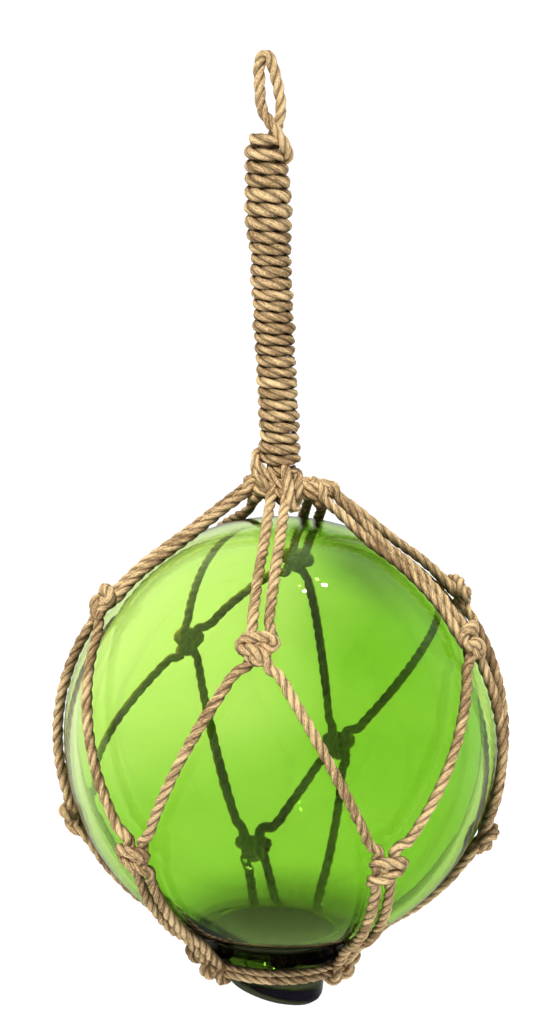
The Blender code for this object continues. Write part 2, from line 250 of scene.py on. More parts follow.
@dataclass(frozen=True)
class ContactShade:
    """How far painted shade reaches round a cord from where it lies on the glass or on its next turn."""

    glass_reach: float = 0.008
    glass_near: float = 1.6
    glass_from: float = -0.25
    glass_width: float = 0.7
    turn_from: float = 0.55
    turn_width: float = 0.45

    def share(self, against: Against, route: Route, sides: np.ndarray) -> np.ndarray:
        """Find how much painted shade each side of a cord gets from what it lies on.

        Args:
            against: What the cord lies on.
            route: The cord's route in the part's frame.
            sides: Directions from the route to each point of its rings.

        Returns:
            A share for each point, 1 where it lies on the glass or on the next turn.
        """
        if against is Against.NOTHING:
            return np.zeros(sides.shape[:2])
        if against is Against.OWN_TURNS:
            return np.clip((np.abs(sides[:, :, 2]) - self.turn_from) / self.turn_width, 0.0, 1.0)
        from_ball = route - np.array(BALL_CENTRE)
        distance = np.linalg.norm(from_ball, axis=1)
        facing = -np.einsum("rcx,rx->rc", sides, from_ball / distance[:, None])
        near = np.clip(self.glass_near - (distance - NET_RADIUS) / self.glass_reach, 0.0, 1.0)
        return np.clip((facing - self.glass_from) / self.glass_width, 0.0, 1.0) * near[:, None]


class CordMesh:
    """Collects cords and sweeps their section along them into one mesh."""

    def __init__(self, lay: CordLay, seed: int) -> None:
        """Start an empty mesh.

        Args:
            lay: The section that every cord has.
            seed: Seed of the cord's small unevenness.
        """
        self.lay = lay
        self.contact_shading = ContactShade()
        self.rng = np.random.default_rng(seed)
        self.places: list[np.ndarray] = []
        self.marks: list[np.ndarray] = []
        self.shades: list[np.ndarray] = []
        self.faces: list[tuple[int, ...]] = []
        self.count = 0
        self.length = 0.0

    def add(self, cord: Cord) -> None:
        """Sweep the section along a cord.

        Args:
            cord: The cord.
        """
        route = cord.route
        rings, radius = cord.rings()
        middle_radius = float(radius.mean())
        tangents, normals = self.frames(route, cord.closed)
        binormals = np.cross(tangents, normals)
        steps = np.linalg.norm(np.diff(route, axis=0), axis=1)
        along = np.concatenate(([0.0], np.cumsum(steps)))
        whole = along[-1] + (np.linalg.norm(route[0] - route[-1]) if cord.closed else 0.0)
        twist = 2 * pi / (self.lay.lay_diameters * 2 * middle_radius)
        if cord.closed:
            missing = self.mismatch(tangents, normals)
            twist = (2 * pi * round((twist * whole + missing) / (2 * pi)) - missing) / whole
        angles, radii = self.lay.section()
        count = len(angles)
        swell = 1 + self.lay.swell * self.wander(rings, self.lay.swell_reach)
        rough = self.rng.normal(0.0, self.lay.roughness, (rings, count))
        spread = radius[:, None] * (radii[None, :] * swell[:, None] + rough)
        spin = angles[None, :] + (cord.turn + twist * along)[:, None]
        sides = (np.cos(spin)[:, :, None] * normals[:, None, :]
                 + np.sin(spin)[:, :, None] * binormals[:, None, :])
        self.places.append((route[:, None, :] + spread[:, :, None] * sides).reshape(-1, 3))
        fixed = np.broadcast_to(angles, (rings, count))
        length = np.broadcast_to((along + self.length)[:, None], (rings, count))
        self.marks.append(np.stack((middle_radius * np.cos(fixed), middle_radius * np.sin(fixed), length),
                                   axis=-1).reshape(-1, 3))
        groove = np.broadcast_to((radii.max() - radii) / (radii.max() - radii.min()), (rings, count))
        tone = cord.tone + self.lay.tone_swing * self.wander(rings, self.lay.tone_reach)
        tone = np.broadcast_to(tone[:, None], (rings, count))
        # Painted shade on the sides that face the glass or the next turn.
        contact_shade = self.contact_shading.share(cord.against, route, sides)
        self.shades.append(np.stack((groove, tone, contact_shade), axis=-1).reshape(-1, 3))
        self.skin(rings, count, cord.closed)
        if not cord.closed:
            rise = self.lay.end_rise
            self.close_end(route[0] - tangents[0] * radius[0] * rise, 0, count, True)
            self.close_end(route[-1] + tangents[-1] * radius[-1] * rise, rings - 1, count, False)
        self.count += len(self.places[-1])
        self.length += whole

    def close_end(self, tip: np.ndarray, ring: int, count: int, first: bool) -> None:
        """Close one end of the cord that is being added with a low cone.

        Args:
            tip: The cone's point.
            ring: The ring that it closes.
            count: Points in a ring.
            first: Whether it is the cord's first end.
        """
        base = self.count + ring * count
        tip_index = self.count + len(self.places[-1])
        self.places[-1] = np.vstack((self.places[-1], tip))
        self.marks[-1] = np.vstack((self.marks[-1], self.marks[-1][ring * count]))
        self.shades[-1] = np.vstack((self.shades[-1], self.lay.end_shade))
        for point in range(count):
            after = (point + 1) % count
            corners = (tip_index, base + after, base + point)
            self.faces.append(corners if first else corners[::-1])

    def skin(self, rings: int, count: int, closed: bool) -> None:
        """Add the faces between the rings of a cord.

        Args:
            rings: Number of rings.
            count: Points in a ring.
            closed: Whether the last ring joins the first.
        """
        base = self.count
        for ring in range(rings if closed else rings - 1):
            lower = base + ring * count
            upper = base + ((ring + 1) % rings) * count
            for point in range(count):
                after = (point + 1) % count
                self.faces.append((lower + point, lower + after, upper + after, upper + point))

    def wander(self, count: int, reach: int) -> np.ndarray:
        """Draw smooth unevenness between about -1 and 1.

        Args:
            count: Number of values.
            reach: Number of values over which it is smoothed.

        Returns:
            The values.
        """
        raw = self.rng.normal(0.0, 1.0, count + 2 * reach)
        window = np.hanning(2 * reach + 1)
        smooth = np.convolve(raw, window / np.linalg.norm(window), mode="valid")
        return np.clip(0.5 * smooth, -1.0, 1.0)

    @staticmethod
    def frames(route: Route, closed: bool) -> tuple[np.ndarray, np.ndarray]:
        """Carry a sideways direction along a route without twisting it.

        Args:
            route: The route.
            closed: Whether it is closed.

        Returns:
            The directions along the route and the directions sideways.
        """
        if closed:
            tangents = np.roll(route, -1, axis=0) - np.roll(route, 1, axis=0)
        else:
            tangents = np.gradient(route, axis=0)
        tangents /= np.linalg.norm(tangents, axis=1)[:, None]
        helper = np.eye(3)[int(np.argmin(np.abs(tangents[0])))]
        side = unit(np.cross(tangents[0], helper))
        normals = []
        for tangent in tangents:
            side = unit(side - tangent * float(side @ tangent))
            normals.append(side)
        return tangents, np.array(normals)

    @staticmethod
    def mismatch(tangents: np.ndarray, normals: np.ndarray) -> float:
        """Measure the angle by which a closed route's last side misses its first.

        Args:
            tangents: Directions along the route.
            normals: Directions sideways.

        Returns:
            The angle in radians.
        """
        carried = unit(normals[-1] - tangents[0] * float(normals[-1] @ tangents[0]))
        across = float(np.cross(carried, normals[0]) @ tangents[0])
        return -float(np.arctan2(across, float(carried @ normals[0])))

    def build(self, name: str, material: bpy.types.Material) -> bpy.types.Object:
        """Turn what was collected into an object.

        Args:
            name: The piece's name.
            material: Its material.

        Returns:
            The new object.
        """
        mesh = bpy.data.meshes.new(name)
        mesh.from_pydata(np.vstack(self.places).tolist(), [], self.faces)
        for mark, rows in ((Marks.PLACE, self.marks), (Marks.SHADE, self.shades)):
            layer = mesh.attributes.new(mark.value, "FLOAT_VECTOR", "POINT")
            layer.data.foreach_set("vector", np.vstack(rows).astype(np.float32).ravel())
        mesh.shade_smooth()
        mesh.materials.append(material)
        return placed(name, mesh)


def placed(name: str, data: bpy.types.ID) -> bpy.types.Object:
    """Put a new object into the scene.

    Args:
        name: The object's name.
        data: Its mesh, light or camera.

    Returns:
        The object.
    """
    made = bpy.data.objects.new(name, data)
    bpy.context.collection.objects.link(made)
    return made


class SocketKind(Enum):
    """Kinds of input and output that the node groups have."""

    VECTOR = "NodeSocketVector"
    FLOAT = "NodeSocketFloat"
    COLOUR = "NodeSocketColor"


class NodeGraph:
    """Places and links nodes in one node tree."""

    def __init__(self, tree: bpy.types.NodeTree) -> None:
        """Work in a tree."""
        self.tree = tree

    @classmethod
    def group(cls, name: str, inputs: dict[str, SocketKind], outputs: dict[str, SocketKind]) -> "NodeGraph":
        """Start a shader node group.

        Args:
            name: The group's name.
            inputs: Kind of each input by its name.
            outputs: Kind of each output by its name.

        Returns:
            A graph that works in the group's tree.
        """
        tree = bpy.data.node_groups.new(name, "ShaderNodeTree")
        for direction, sockets in (("INPUT", inputs), ("OUTPUT", outputs)):
            for socket, kind in sockets.items():
                tree.interface.new_socket(name=socket, in_out=direction, socket_type=kind.value)
        return cls(tree)

    @classmethod
    def material(cls, name: str) -> tuple[bpy.types.Material, "NodeGraph", bpy.types.NodeInputs]:
        """Start a material.

        Args:
            name: The material's name.

        Returns:
            The material, a graph that works in its tree and the inputs of its shader.
        """
        material = bpy.data.materials.new(name)
        material.use_nodes = True
        return material, cls(material.node_tree), material.node_tree.nodes["Principled BSDF"].inputs

    def add(self, kind: str, **settings: object) -> bpy.types.Node:
        """Add a node and set its properties.

        Args:
            kind: The node's type name.
            **settings: Its properties.

        Returns:
            The node.
        """
        node = self.tree.nodes.new(kind)
        for name, value in settings.items():
            setattr(node, name, value)
        return node

    def link(self, source: Socket, target: Socket) -> None:
        """Link an output to an input."""
        self.tree.links.new(source, target)

    def feed(self, target: Socket, source: Socket | float | tuple[float, ...]) -> None:
        """Feed an input from another node's output or set it to a constant.

        Args:
            target: The input.
            source: The output, the number or the colour.
        """
        if isinstance(source, bpy.types.NodeSocket):
            self.link(source, target)
        else:
            target.default_value = source

    def math(self, operation: str, first: Socket | float, second: Socket | float = 0.0) -> Socket:
        """Add a Math node.

        Args:
            operation: What it does.
            first: Its first value, a number or an output.
            second: Its second value.

        Returns:
            Its output.
        """
        node = self.add("ShaderNodeMath", operation=operation)
        self.feed(node.inputs[0], first)
        self.feed(node.inputs[1], second)
        return node.outputs[0]

    def plus(self, first: Socket | float, second: Socket | float) -> Socket:
        """Add two values."""
        return self.math("ADD", first, second)

    def minus(self, first: Socket | float, second: Socket | float) -> Socket:
        """Subtract the second value from the first."""
        return self.math("SUBTRACT", first, second)

    def times(self, first: Socket | float, second: Socket | float) -> Socket:
        """Multiply two values."""
        return self.math("MULTIPLY", first, second)

    def above(self, value: Socket, level: float) -> Socket:
        """Find how far a value is above a level, or 0 where it is below."""
        return self.math("MAXIMUM", self.minus(value, level), 0.0)

    def square(self, value: Socket) -> Socket:
        """Square a value of either sign."""
        return self.math("POWER", self.math("ABSOLUTE", value), 2.0)

    def parts(self, vector: Socket) -> bpy.types.NodeOutputs:
        """Split a vector into its three parts.

        Args:
            vector: The vector.

        Returns:
            The outputs for its parts.
        """
        node = self.add("ShaderNodeSeparateXYZ")
        self.link(vector, node.inputs[0])
        return node.outputs

    def ramp(self, value: Socket, start: float, end: float, smooth: bool = True, low: float = 0.0,
             high: float = 1.0) -> Socket:
        """Add a Map Range node.

        Args:
            value: What it maps.
            start: The value that gives the low result.
            end: The value that gives the high result.
            smooth: Whether it eases in and out.
            low: The low result.
            high: The high result.

        Returns:
            Its output.
        """
        node = self.add("ShaderNodeMapRange", interpolation_type="SMOOTHSTEP" if smooth else "LINEAR")
        for name, number in (("From Min", start), ("From Max", end), ("To Min", low), ("To Max", high)):
            node.inputs[name].default_value = number
        self.link(value, node.inputs["Value"])
        return node.outputs[0]

    def mix(self, share: Socket, first: Socket | Colour, second: Socket | Colour) -> Socket:
        """Add a Mix node for colours.

        Args:
            share: How much of the second colour.
            first: The first colour.
            second: The second colour.

        Returns:
            Its colour output.
        """
        node = self.add("ShaderNodeMix", data_type="RGBA")
        self.link(share, node.inputs["Factor"])
        for socket, colour in ((node.inputs[6], first), (node.inputs[7], second)):
            self.feed(socket, (*colour, 1.0) if isinstance(colour, tuple) else colour)
        return node.outputs[2]

    def noise(self, place: Socket, scale: Point, detail: float) -> Socket:
        """Add a noise that is stretched by a scale of its own along each axis.

        Args:
            place: The coordinates.
            scale: Noise waves for each metre along each axis.
            detail: Levels of finer noise.

        Returns:
            The noise between 0 and 1.
        """
        stretch = self.add("ShaderNodeVectorMath", operation="MULTIPLY")
        self.link(place, stretch.inputs[0])
        stretch.inputs[1].default_value = scale
        noise = self.add("ShaderNodeTexNoise", noise_dimensions="3D")
        noise.inputs["Scale"].default_value = 1.0
        noise.inputs["Detail"].default_value = detail
        self.link(stretch.outputs[0], noise.inputs["Vector"])
        return noise.outputs["Fac"]


@dataclass(frozen=True)
class LaidJute:
    """The effect that gives laid jute its fibres and its patches, and paints shade in its grooves and where it
    lies on things.
    """

    fibre_waves: Point = (3400.0, 3400.0, 420.0)
    yarn_waves: Point = (1300.0, 1300.0, 160.0)
    speck_waves: Point = (2500.0, 2500.0, 1500.0)
    patch_waves: Point = (160.0, 160.0, 60.0)
    fibre: float = 0.40
    yarn: float = 0.26
    speck: float = 0.34
    patch: float = 0.30
    tone: float = 0.30
    dark_at: float = 0.42
    light_at: float = 0.58
    groove_power: float = 1.5
    groove_painted_shade: float = 0.8
    contact_painted_shade: float = 0.82
    least_roughness: float = 0.72
    fibre_roughness: float = 0.2
    fibre_rise: float = 0.8
    yarn_rise: float = 0.8
    groove_fall: float = 0.4

    def make(self) -> bpy.types.NodeTree:
        """Make the node group.

        Returns:
            The group.
        """
        kinds = SocketKind
        graph = NodeGraph.group(
            "laid_jute",
            {"Place": kinds.VECTOR, "Groove": kinds.FLOAT, "Tone": kinds.FLOAT, "Contact Shade": kinds.FLOAT,
             "Light": kinds.COLOUR, "Dark": kinds.COLOUR, "Painted Shade": kinds.COLOUR},
            {"Colour": kinds.COLOUR, "Roughness": kinds.FLOAT, "Height": kinds.FLOAT})
        source = graph.add("NodeGroupInput").outputs
        result = graph.add("NodeGroupOutput").inputs
        fibre = graph.noise(source["Place"], self.fibre_waves, detail=3.0)
        yarn = graph.noise(source["Place"], self.yarn_waves, detail=2.0)
        # Fine specks: grain of the fibres, which also paints their small glints as pale specks.
        speck = graph.noise(source["Place"], self.speck_waves, detail=1.0)
        patch = graph.noise(source["Place"], self.patch_waves, detail=1.0)
        mixed = graph.plus(graph.times(fibre, self.fibre), graph.times(yarn, self.yarn))
        mixed = graph.plus(mixed, graph.times(speck, self.speck))
        mixed = graph.plus(mixed, graph.times(graph.minus(patch, 0.5), self.patch))
        mixed = graph.plus(mixed, graph.times(graph.minus(source["Tone"], 0.5), self.tone))
        share = graph.ramp(mixed, self.dark_at, self.light_at, smooth=False)
        colour = graph.mix(share, source["Dark"], source["Light"])
        # Painted shade in the grooves between the strands.
        painted_shade = graph.times(graph.math("POWER", source["Groove"], self.groove_power), self.groove_painted_shade)
        colour = graph.mix(painted_shade, colour, source["Painted Shade"])
        # Painted shade where the cord lies on the glass or on its next turn.
        contact_shade_share = graph.times(source["Contact Shade"], self.contact_painted_shade)
        graph.link(graph.mix(contact_shade_share, colour, source["Painted Shade"]), result["Colour"])
        rough = graph.plus(graph.times(fibre, self.fibre_roughness), self.least_roughness)
        graph.link(rough, result["Roughness"])
        height = graph.plus(graph.times(fibre, self.fibre_rise), graph.times(yarn, self.yarn_rise))
        graph.link(graph.minus(height, graph.times(source["Groove"], self.groove_fall)), result["Height"])
        return graph.tree


@dataclass(frozen=True)
class JuteFinish:
    """Dry laid jute cord."""

    name: str = "jute"
    light: Colour = (0.93, 0.665, 0.345)
    dark: Colour = (0.30, 0.180, 0.082)
    # Colour of the painted shade in the grooves and where the cord lies on the glass or on its next turn.
    painted_shade: Colour = (0.070, 0.040, 0.018)
    fibre_height: float = 0.00040
    shine: float = 0.25

    def make(self, group: bpy.types.NodeTree) -> bpy.types.Material:
        """Make the material.

        Args:
            group: The laid jute node group.

        Returns:
            The material.
        """
        material, graph, shader = NodeGraph.material(self.name)
        place = graph.add("ShaderNodeAttribute", attribute_name=Marks.PLACE.value)
        shade = graph.add("ShaderNodeAttribute", attribute_name=Marks.SHADE.value)
        jute = graph.add("ShaderNodeGroup", node_tree=group)
        graph.link(place.outputs["Vector"], jute.inputs["Place"])
        for part, name in zip(graph.parts(shade.outputs["Vector"]), ("Groove", "Tone", "Contact Shade")):
            graph.link(part, jute.inputs[name])
        for name, colour in (("Light", self.light), ("Dark", self.dark), ("Painted Shade", self.painted_shade)):
            jute.inputs[name].default_value = (*colour, 1.0)
        bump = graph.add("ShaderNodeBump")
        bump.inputs["Distance"].default_value = self.fibre_height
        bump.inputs["Strength"].default_value = 1.0
        graph.link(jute.outputs["Height"], bump.inputs["Height"])
        graph.link(jute.outputs["Colour"], shader["Base Color"])
        graph.link(jute.outputs["Roughness"], shader["Roughness"])
        graph.link(bump.outputs["Normal"], shader["Normal"])
        shader["Specular IOR Level"].default_value = self.shine
        return material


@dataclass(frozen=True)
class BlownTint:
    """The effect that deepens the glass where the blown wall is thicker and paints a shadow high on the front,
    in sizes from the ball's centre.
    """

    across_slope: float = 3.6
    down_slope: float = 6.6
    even_above: float = 0.042
    low_from: float = 0.015
    low_slope: float = 5.0
    patch_x: float = 0.034
    patch_z: float = 0.034
    patch_radius: float = 0.026
    patch_depth: float = 0.70
    crown_from: float = 0.060
    crown_slope: float = 60.0
    crown_side_slope: float = 50.0
    crown_middle: float = 0.2
    streak_waves: Point = (9.0, 9.0, 26.0)
    streak_depth: float = 0.5
    thin_at: float = -0.46
    thick_at: float = 0.32
    foot_from: float = -0.058
    foot_full: float = -0.071
    fold_x: float = 0.028
    fold_z: float = 0.062
    fold_across: tuple[float, float] = (106.0, 146.0)
    fold_along: tuple[float, float] = (44.0, -32.0)
    fold_depth: float = 0.60
    dregs_from: float = 0.0630
    dregs_full: float = 0.0660
    dregs_bend: float = 0.011
    dregs_rise: float = 0.75
    dregs_front: tuple[float, float] = (-0.008, -0.028)
    dregs_left: tuple[float, float] = (-0.038, -0.032)

    def make(self) -> bpy.types.NodeTree:
        """Make the node group.

        Returns:
            The group.
        """
        tints = ("Thin", "Thick", "Pooled And Shadow", "Dregs")
        graph = NodeGraph.group("blown_tint",
                                {"Place": SocketKind.VECTOR, **{name: SocketKind.COLOUR for name in tints}},
                                {"Colour": SocketKind.COLOUR})
        source = graph.add("NodeGroupInput").outputs
        result = graph.add("NodeGroupOutput").inputs
        shift = graph.add("ShaderNodeVectorMath", operation="SUBTRACT")
        graph.link(source["Place"], shift.inputs[0])
        shift.inputs[1].default_value = BALL_CENTRE
        across, depth, height = graph.parts(shift.outputs[0])
        wall = self.wall(graph, across, height)
        streak = graph.noise(shift.outputs[0], self.streak_waves, detail=2.0)
        wall = graph.plus(wall, graph.times(graph.minus(streak, 0.5), self.streak_depth))
        share = graph.ramp(wall, self.thin_at, self.thick_at, smooth=False)
        colour = graph.mix(share, source["Thin"], source["Thick"])
        foot = graph.ramp(height, self.foot_from, self.foot_full)
        # The foot's thick glass and the painted shadow in the upper right share one dark colour.
        pooled_and_shadow = graph.math("MAXIMUM", foot, self.fold(graph, across, depth, height))
        colour = graph.mix(pooled_and_shadow, colour, source["Pooled And Shadow"])
        dregs = self.dregs(graph, across, depth, height)
        graph.link(graph.mix(dregs, colour, source["Dregs"]), result["Colour"])
        return graph.tree

    def wall(self, graph: NodeGraph, across: Socket, height: Socket) -> Socket:
        """Work out how thick the wall is from side to side and from the crown down.

        Args:
            graph: The group's graph.
            across: How far to the right the glass is.
            height: How high it is.

        Returns:
            The thickness, with 0 for a middling wall.
        """
        down = graph.times(graph.math("MINIMUM", height, self.even_above), -self.down_slope)
        wall = graph.plus(graph.times(across, self.across_slope), down)
        low = graph.above(graph.times(height, -1.0), self.low_from)
        wall = graph.plus(wall, graph.times(low, self.low_slope))
        patch = graph.plus(graph.square(graph.minus(across, self.patch_x)),
                           graph.square(graph.minus(height, self.patch_z)))
        patch = graph.math("EXPONENT", graph.times(patch, -1.0 / self.patch_radius ** 2))
        wall = graph.plus(wall, graph.times(patch, self.patch_depth))
        crown = graph.times(graph.above(height, self.crown_from), self.crown_slope)
        beside = graph.plus(graph.times(across, self.crown_side_slope), self.crown_middle)
        beside = graph.math("MINIMUM", graph.math("MAXIMUM", beside, 0.0), 1.0)
        return graph.plus(wall, graph.times(crown, beside))

    def fold(self, graph: NodeGraph, across: Socket, depth: Socket, height: Socket) -> Socket:
        """Work out a painted shadow, as of a fold in the wall, in the upper right of the front.

        Args:
            graph: The group's graph.
            across: How far to the right the glass is.
            depth: How far back it is.
            height: How high it is.

        Returns:
            The share of painted shadow, which takes the dark colour of the foot's glass.
        """
        aside, over = graph.minus(across, self.fold_x), graph.minus(height, self.fold_z)
        reach = [graph.square(graph.plus(graph.times(aside, x), graph.times(over, z)))
                 for x, z in (self.fold_across, self.fold_along)]
        fold = graph.math("EXPONENT", graph.times(graph.plus(*reach), -1.0))
        front = graph.math("LESS_THAN", depth, 0.0)
        return graph.times(fold, graph.times(front, self.fold_depth))

    def dregs(self, graph: NodeGraph, across: Socket, depth: Socket, height: Socket) -> Socket:
        """Work out where the darkest glass has gathered, low in the front, higher to the left.

        Args:
            graph: The group's graph.
            across: How far to the right the glass is.
            depth: How far back it is.
            height: How high it is.

        Returns:
            The share of dregs.
        """
        left = graph.above(graph.times(across, -1.0), self.dregs_bend)
        sunk = graph.minus(graph.times(left, self.dregs_rise), height)
        dregs = graph.times(graph.ramp(sunk, self.dregs_from, self.dregs_full),
                            graph.ramp(depth, *self.dregs_front))
        return graph.times(dregs, graph.ramp(across, *self.dregs_left))


@dataclass(frozen=True)
class GlassFinish:
    """Clear glass, tinted where light passes its surface."""

    name: str
    tint: Colour
    ior: float = 1.5
    roughness: float = 0.0
    transmission: float = 1.0

    def make(self) -> bpy.types.Material:
        """Make the material.

        Returns:
            The material.
        """
        material, _, shader = NodeGraph.material(self.name)
        shader["Base Color"].default_value = (*self.tint, 1.0)
        shader["Roughness"].default_value = self.roughness
        shader["Metallic"].default_value = 0.0
        shader["IOR"].default_value = self.ior
        shader["Transmission Weight"].default_value = self.transmission
        return material


@dataclass(frozen=True)
class BlownGlassFinish:
    """Clear green glass of uneven thickness, with a painted shadow in the upper right of the front."""

    name: str = "green_glass"
    thin: Colour = (0.79, 0.975, 0.42)
    thick: Colour = (0.425, 0.715, 0.135)
    pooled_and_shadow: Colour = (0.060, 0.105, 0.022)
    dregs: Colour = (0.012, 0.018, 0.006)

    def make(self, group: bpy.types.NodeTree) -> bpy.types.Material:
        """Make the material.

        Args:
            group: The blown tint node group.

        Returns:
            The material.
        """
        material = GlassFinish(self.name, self.thick).make()
        graph = NodeGraph(material.node_tree)
        tint = graph.add("ShaderNodeGroup", node_tree=group)
        place = graph.add("ShaderNodeTexCoord")
        graph.link(place.outputs["Object"], tint.inputs["Place"])
        for name, colour in (("Thin", self.thin), ("Thick", self.thick), ("Pooled And Shadow", self.pooled_and_shadow),
                             ("Dregs", self.dregs)):
            tint.inputs[name].default_value = (*colour, 1.0)
        shader = material.node_tree.nodes["Principled BSDF"].inputs
        graph.link(tint.outputs["Colour"], shader["Base Color"])
        return material


@dataclass(frozen=True)
class FloorFinish:
    """Matt white floor of the studio."""

    name: str = "studio_floor"
    colour: Colour = (0.92, 0.92, 0.92)
    paler: Colour = (0.95, 0.95, 0.95)
    waves: Point = (3.0, 3.0, 3.0)
    roughness: float = 0.9

    def make(self) -> bpy.types.Material:
        """Make the material.

        Returns:
            The material.
        """
        material, graph, shader = NodeGraph.material(self.name)
        place = graph.add("ShaderNodeNewGeometry")
        mottle = graph.noise(place.outputs["Position"], self.waves, detail=2.0)
        graph.link(graph.mix(mottle, self.colour, self.paler), shader["Base Color"])
        shader["Roughness"].default_value = self.roughness
        shader["Specular IOR Level"].default_value = 0.0
        return material


class Skin(Enum):
    """Kinds of glass in the ball, in the order of its materials."""

    WALL = 0
    SEAL = 1
    FLOOR = 2


@dataclass
class GlassBall:
    """The blown ball, hollow, with the seal pressed over its blow hole.

    The seal's outline is in millimetres and shares of its drop. The cavity's waves are ways, starts and
    heights of the sines that push its wall in and out.
    """

    cavity_radius: float = 0.0693
    cavity_height: float = 0.0722
    floor_drop: float = 0.0688
    floor_crown: float = 0.0008
    pooled_from: float = -0.0692
    seal_neck_radius: float = 0.0262
    seal_drop: float = 0.0192
    seal_outline: Pairs = ((26.1, 0.05), (25.8, 0.12), (25.2, 0.20), (24.6, 0.28), (23.8, 0.36), (22.3, 0.43),
                           (20.0, 0.50), (18.6, 0.57), (18.1, 0.64), (18.0, 0.71), (17.8, 0.78), (17.0, 0.85),
                           (15.5, 0.91), (13.0, 0.955), (9.5, 0.985), (5.0, 0.997), (0.0, 1.0))
    seal_tilt_deg: float = 13.0
    tilt_from: float = 0.008
    tilt_share: float = 0.5
    floor_rings: tuple[float, ...] = (0.985, 0.96, 0.92, 0.86, 0.75, 0.6, 0.45, 0.3, 0.15, 0.0)
    around_steps: int = 128
    down_steps: int = 84
    wave: float = 0.00018
    waves: tuple[tuple[Point, float, float], ...] = (
        ((5.1, 0.0, 2.3), 0.7, 1.0), ((0.0, 4.3, -3.1), 1.9, 1.0), ((3.9, 0.0, 7.7), -1.1, 0.6))

    def outer_outline(self) -> tuple[Outline, int]:
        """Work out the half outline of the outside.

        Returns:
            Radius and height of each ring from the top down, and how many of them are the ball's.
        """
        end_angle = pi - asin(self.seal_neck_radius / BALL_RADIUS)
        rings = [(BALL_RADIUS * sin(end_angle * index / self.down_steps),
                  BALL_RADIUS * cos(end_angle * index / self.down_steps))
                 for index in range(self.down_steps + 1)]
        neck = rings[-1][1]
        drop = neck + BALL_RADIUS + self.seal_drop
        seal = [(MM * radius, neck - drop * share) for radius, share in self.seal_outline]
        return rings + seal, len(rings)

    def inner_outline(self) -> tuple[Outline, int]:
        """Work out the half outline of the cavity.

        Returns:
            Radius and height of each ring from the top down, and how many of them are the wall's.
        """
        end_angle = acos(-self.floor_drop / self.cavity_height)
        rings = [(self.cavity_radius * sin(end_angle * index / self.down_steps),
                  self.cavity_height * cos(end_angle * index / self.down_steps))
                 for index in range(self.down_steps)]
        edge = self.cavity_radius * sin(end_angle)
        floor = [(edge * share, -self.floor_drop + self.floor_crown * (1 - share ** 2))
                 for share in self.floor_rings]
        return rings + floor, len(rings)

    def turned(self, outline: Outline, first: int) -> tuple[list[Vector], list[list[int]]]:
        """Turn an outline about the axis.

        Args:
            outline: Radius and height of each ring from the top down.
            first: Index of the first point.

        Returns:
            The points and the faces, which point away from the axis.
        """
        places, rings, faces = [], [], []
        for radius, height in outline:
            if radius == 0.0:
                rings.append([first + len(places)])
                places.append(Vector((0.0, 0.0, height)))
                continue
            ring = []
            for step in range(self.around_steps):
                ring.append(first + len(places))
                places.append(Vector(around(360.0 * step / self.around_steps, radius, height)))
            rings.append(ring)
        for upper, lower in zip(rings, rings[1:]):
            for step in range(self.around_steps):
                after = (step + 1) % self.around_steps
                corners = [upper[step % len(upper)], lower[step % len(lower)],
                           lower[after % len(lower)], upper[after % len(upper)]]
                faces.append(list(dict.fromkeys(corners)))
        return places, faces

    def uneven(self, place: Vector) -> Vector:
        """Move a point of the cavity wall by the waves of blown glass.

        Args:
            place: The point, from the ball's centre.

        Returns:
            The moved point.
        """
        x, y, z = place / BALL_RADIUS
        wave = sum(height * sin(a * x + b * y + c * z + start) for (a, b, c), start, height in self.waves)
        return place * (1 + self.wave * wave / BALL_RADIUS)

    def build(self, clear: bpy.types.Material, dark: bpy.types.Material,
              painted_reflection: bpy.types.Material) -> bpy.types.Object:
        """Build the ball's outer skin, its cavity and its seal as one piece.

        Args:
            clear: Material of the wall.
            dark: Material of the pooled glass of the foot and of the seal.
            painted_reflection: Material of the cavity's floor.

        Returns:
            The piece.
        """
        outer, wall_rings = self.outer_outline()
        places, faces = self.turned(outer, 0)
        neck = outer[wall_rings - 1][1]
        lower = tan(radians(self.seal_tilt_deg))
        for place in places:
            below = neck - self.tilt_from - place.z
            share = min(1.0, max(0.0, below / (self.tilt_share * self.seal_drop)))
            place.z -= share * lower * place.x
        wall_faces = sum(height > self.pooled_from for _, height in outer[:wall_rings]) * self.around_steps
        skins = [Skin.WALL] * wall_faces + [Skin.SEAL] * (len(faces) - wall_faces)
        inner, cavity_rings = self.inner_outline()
        hollow, hollow_faces = self.turned(inner, len(places))
        places += [self.uneven(place) for place in hollow]
        cavity_faces = cavity_rings * self.around_steps
        faces += [face[::-1] for face in hollow_faces]
        skins += [Skin.WALL] * cavity_faces + [Skin.FLOOR] * (len(hollow_faces) - cavity_faces)
        mesh = bpy.data.meshes.new("glass_ball")
        mesh.from_pydata([LEAN @ place + BALL_CENTRE for place in places], [], faces)
        for material in (clear, dark, painted_reflection):
            mesh.materials.append(material)
        mesh.polygons.foreach_set("material_index", [skin.value for skin in skins])
        mesh.shade_smooth()
        return placed("glass_ball", mesh)


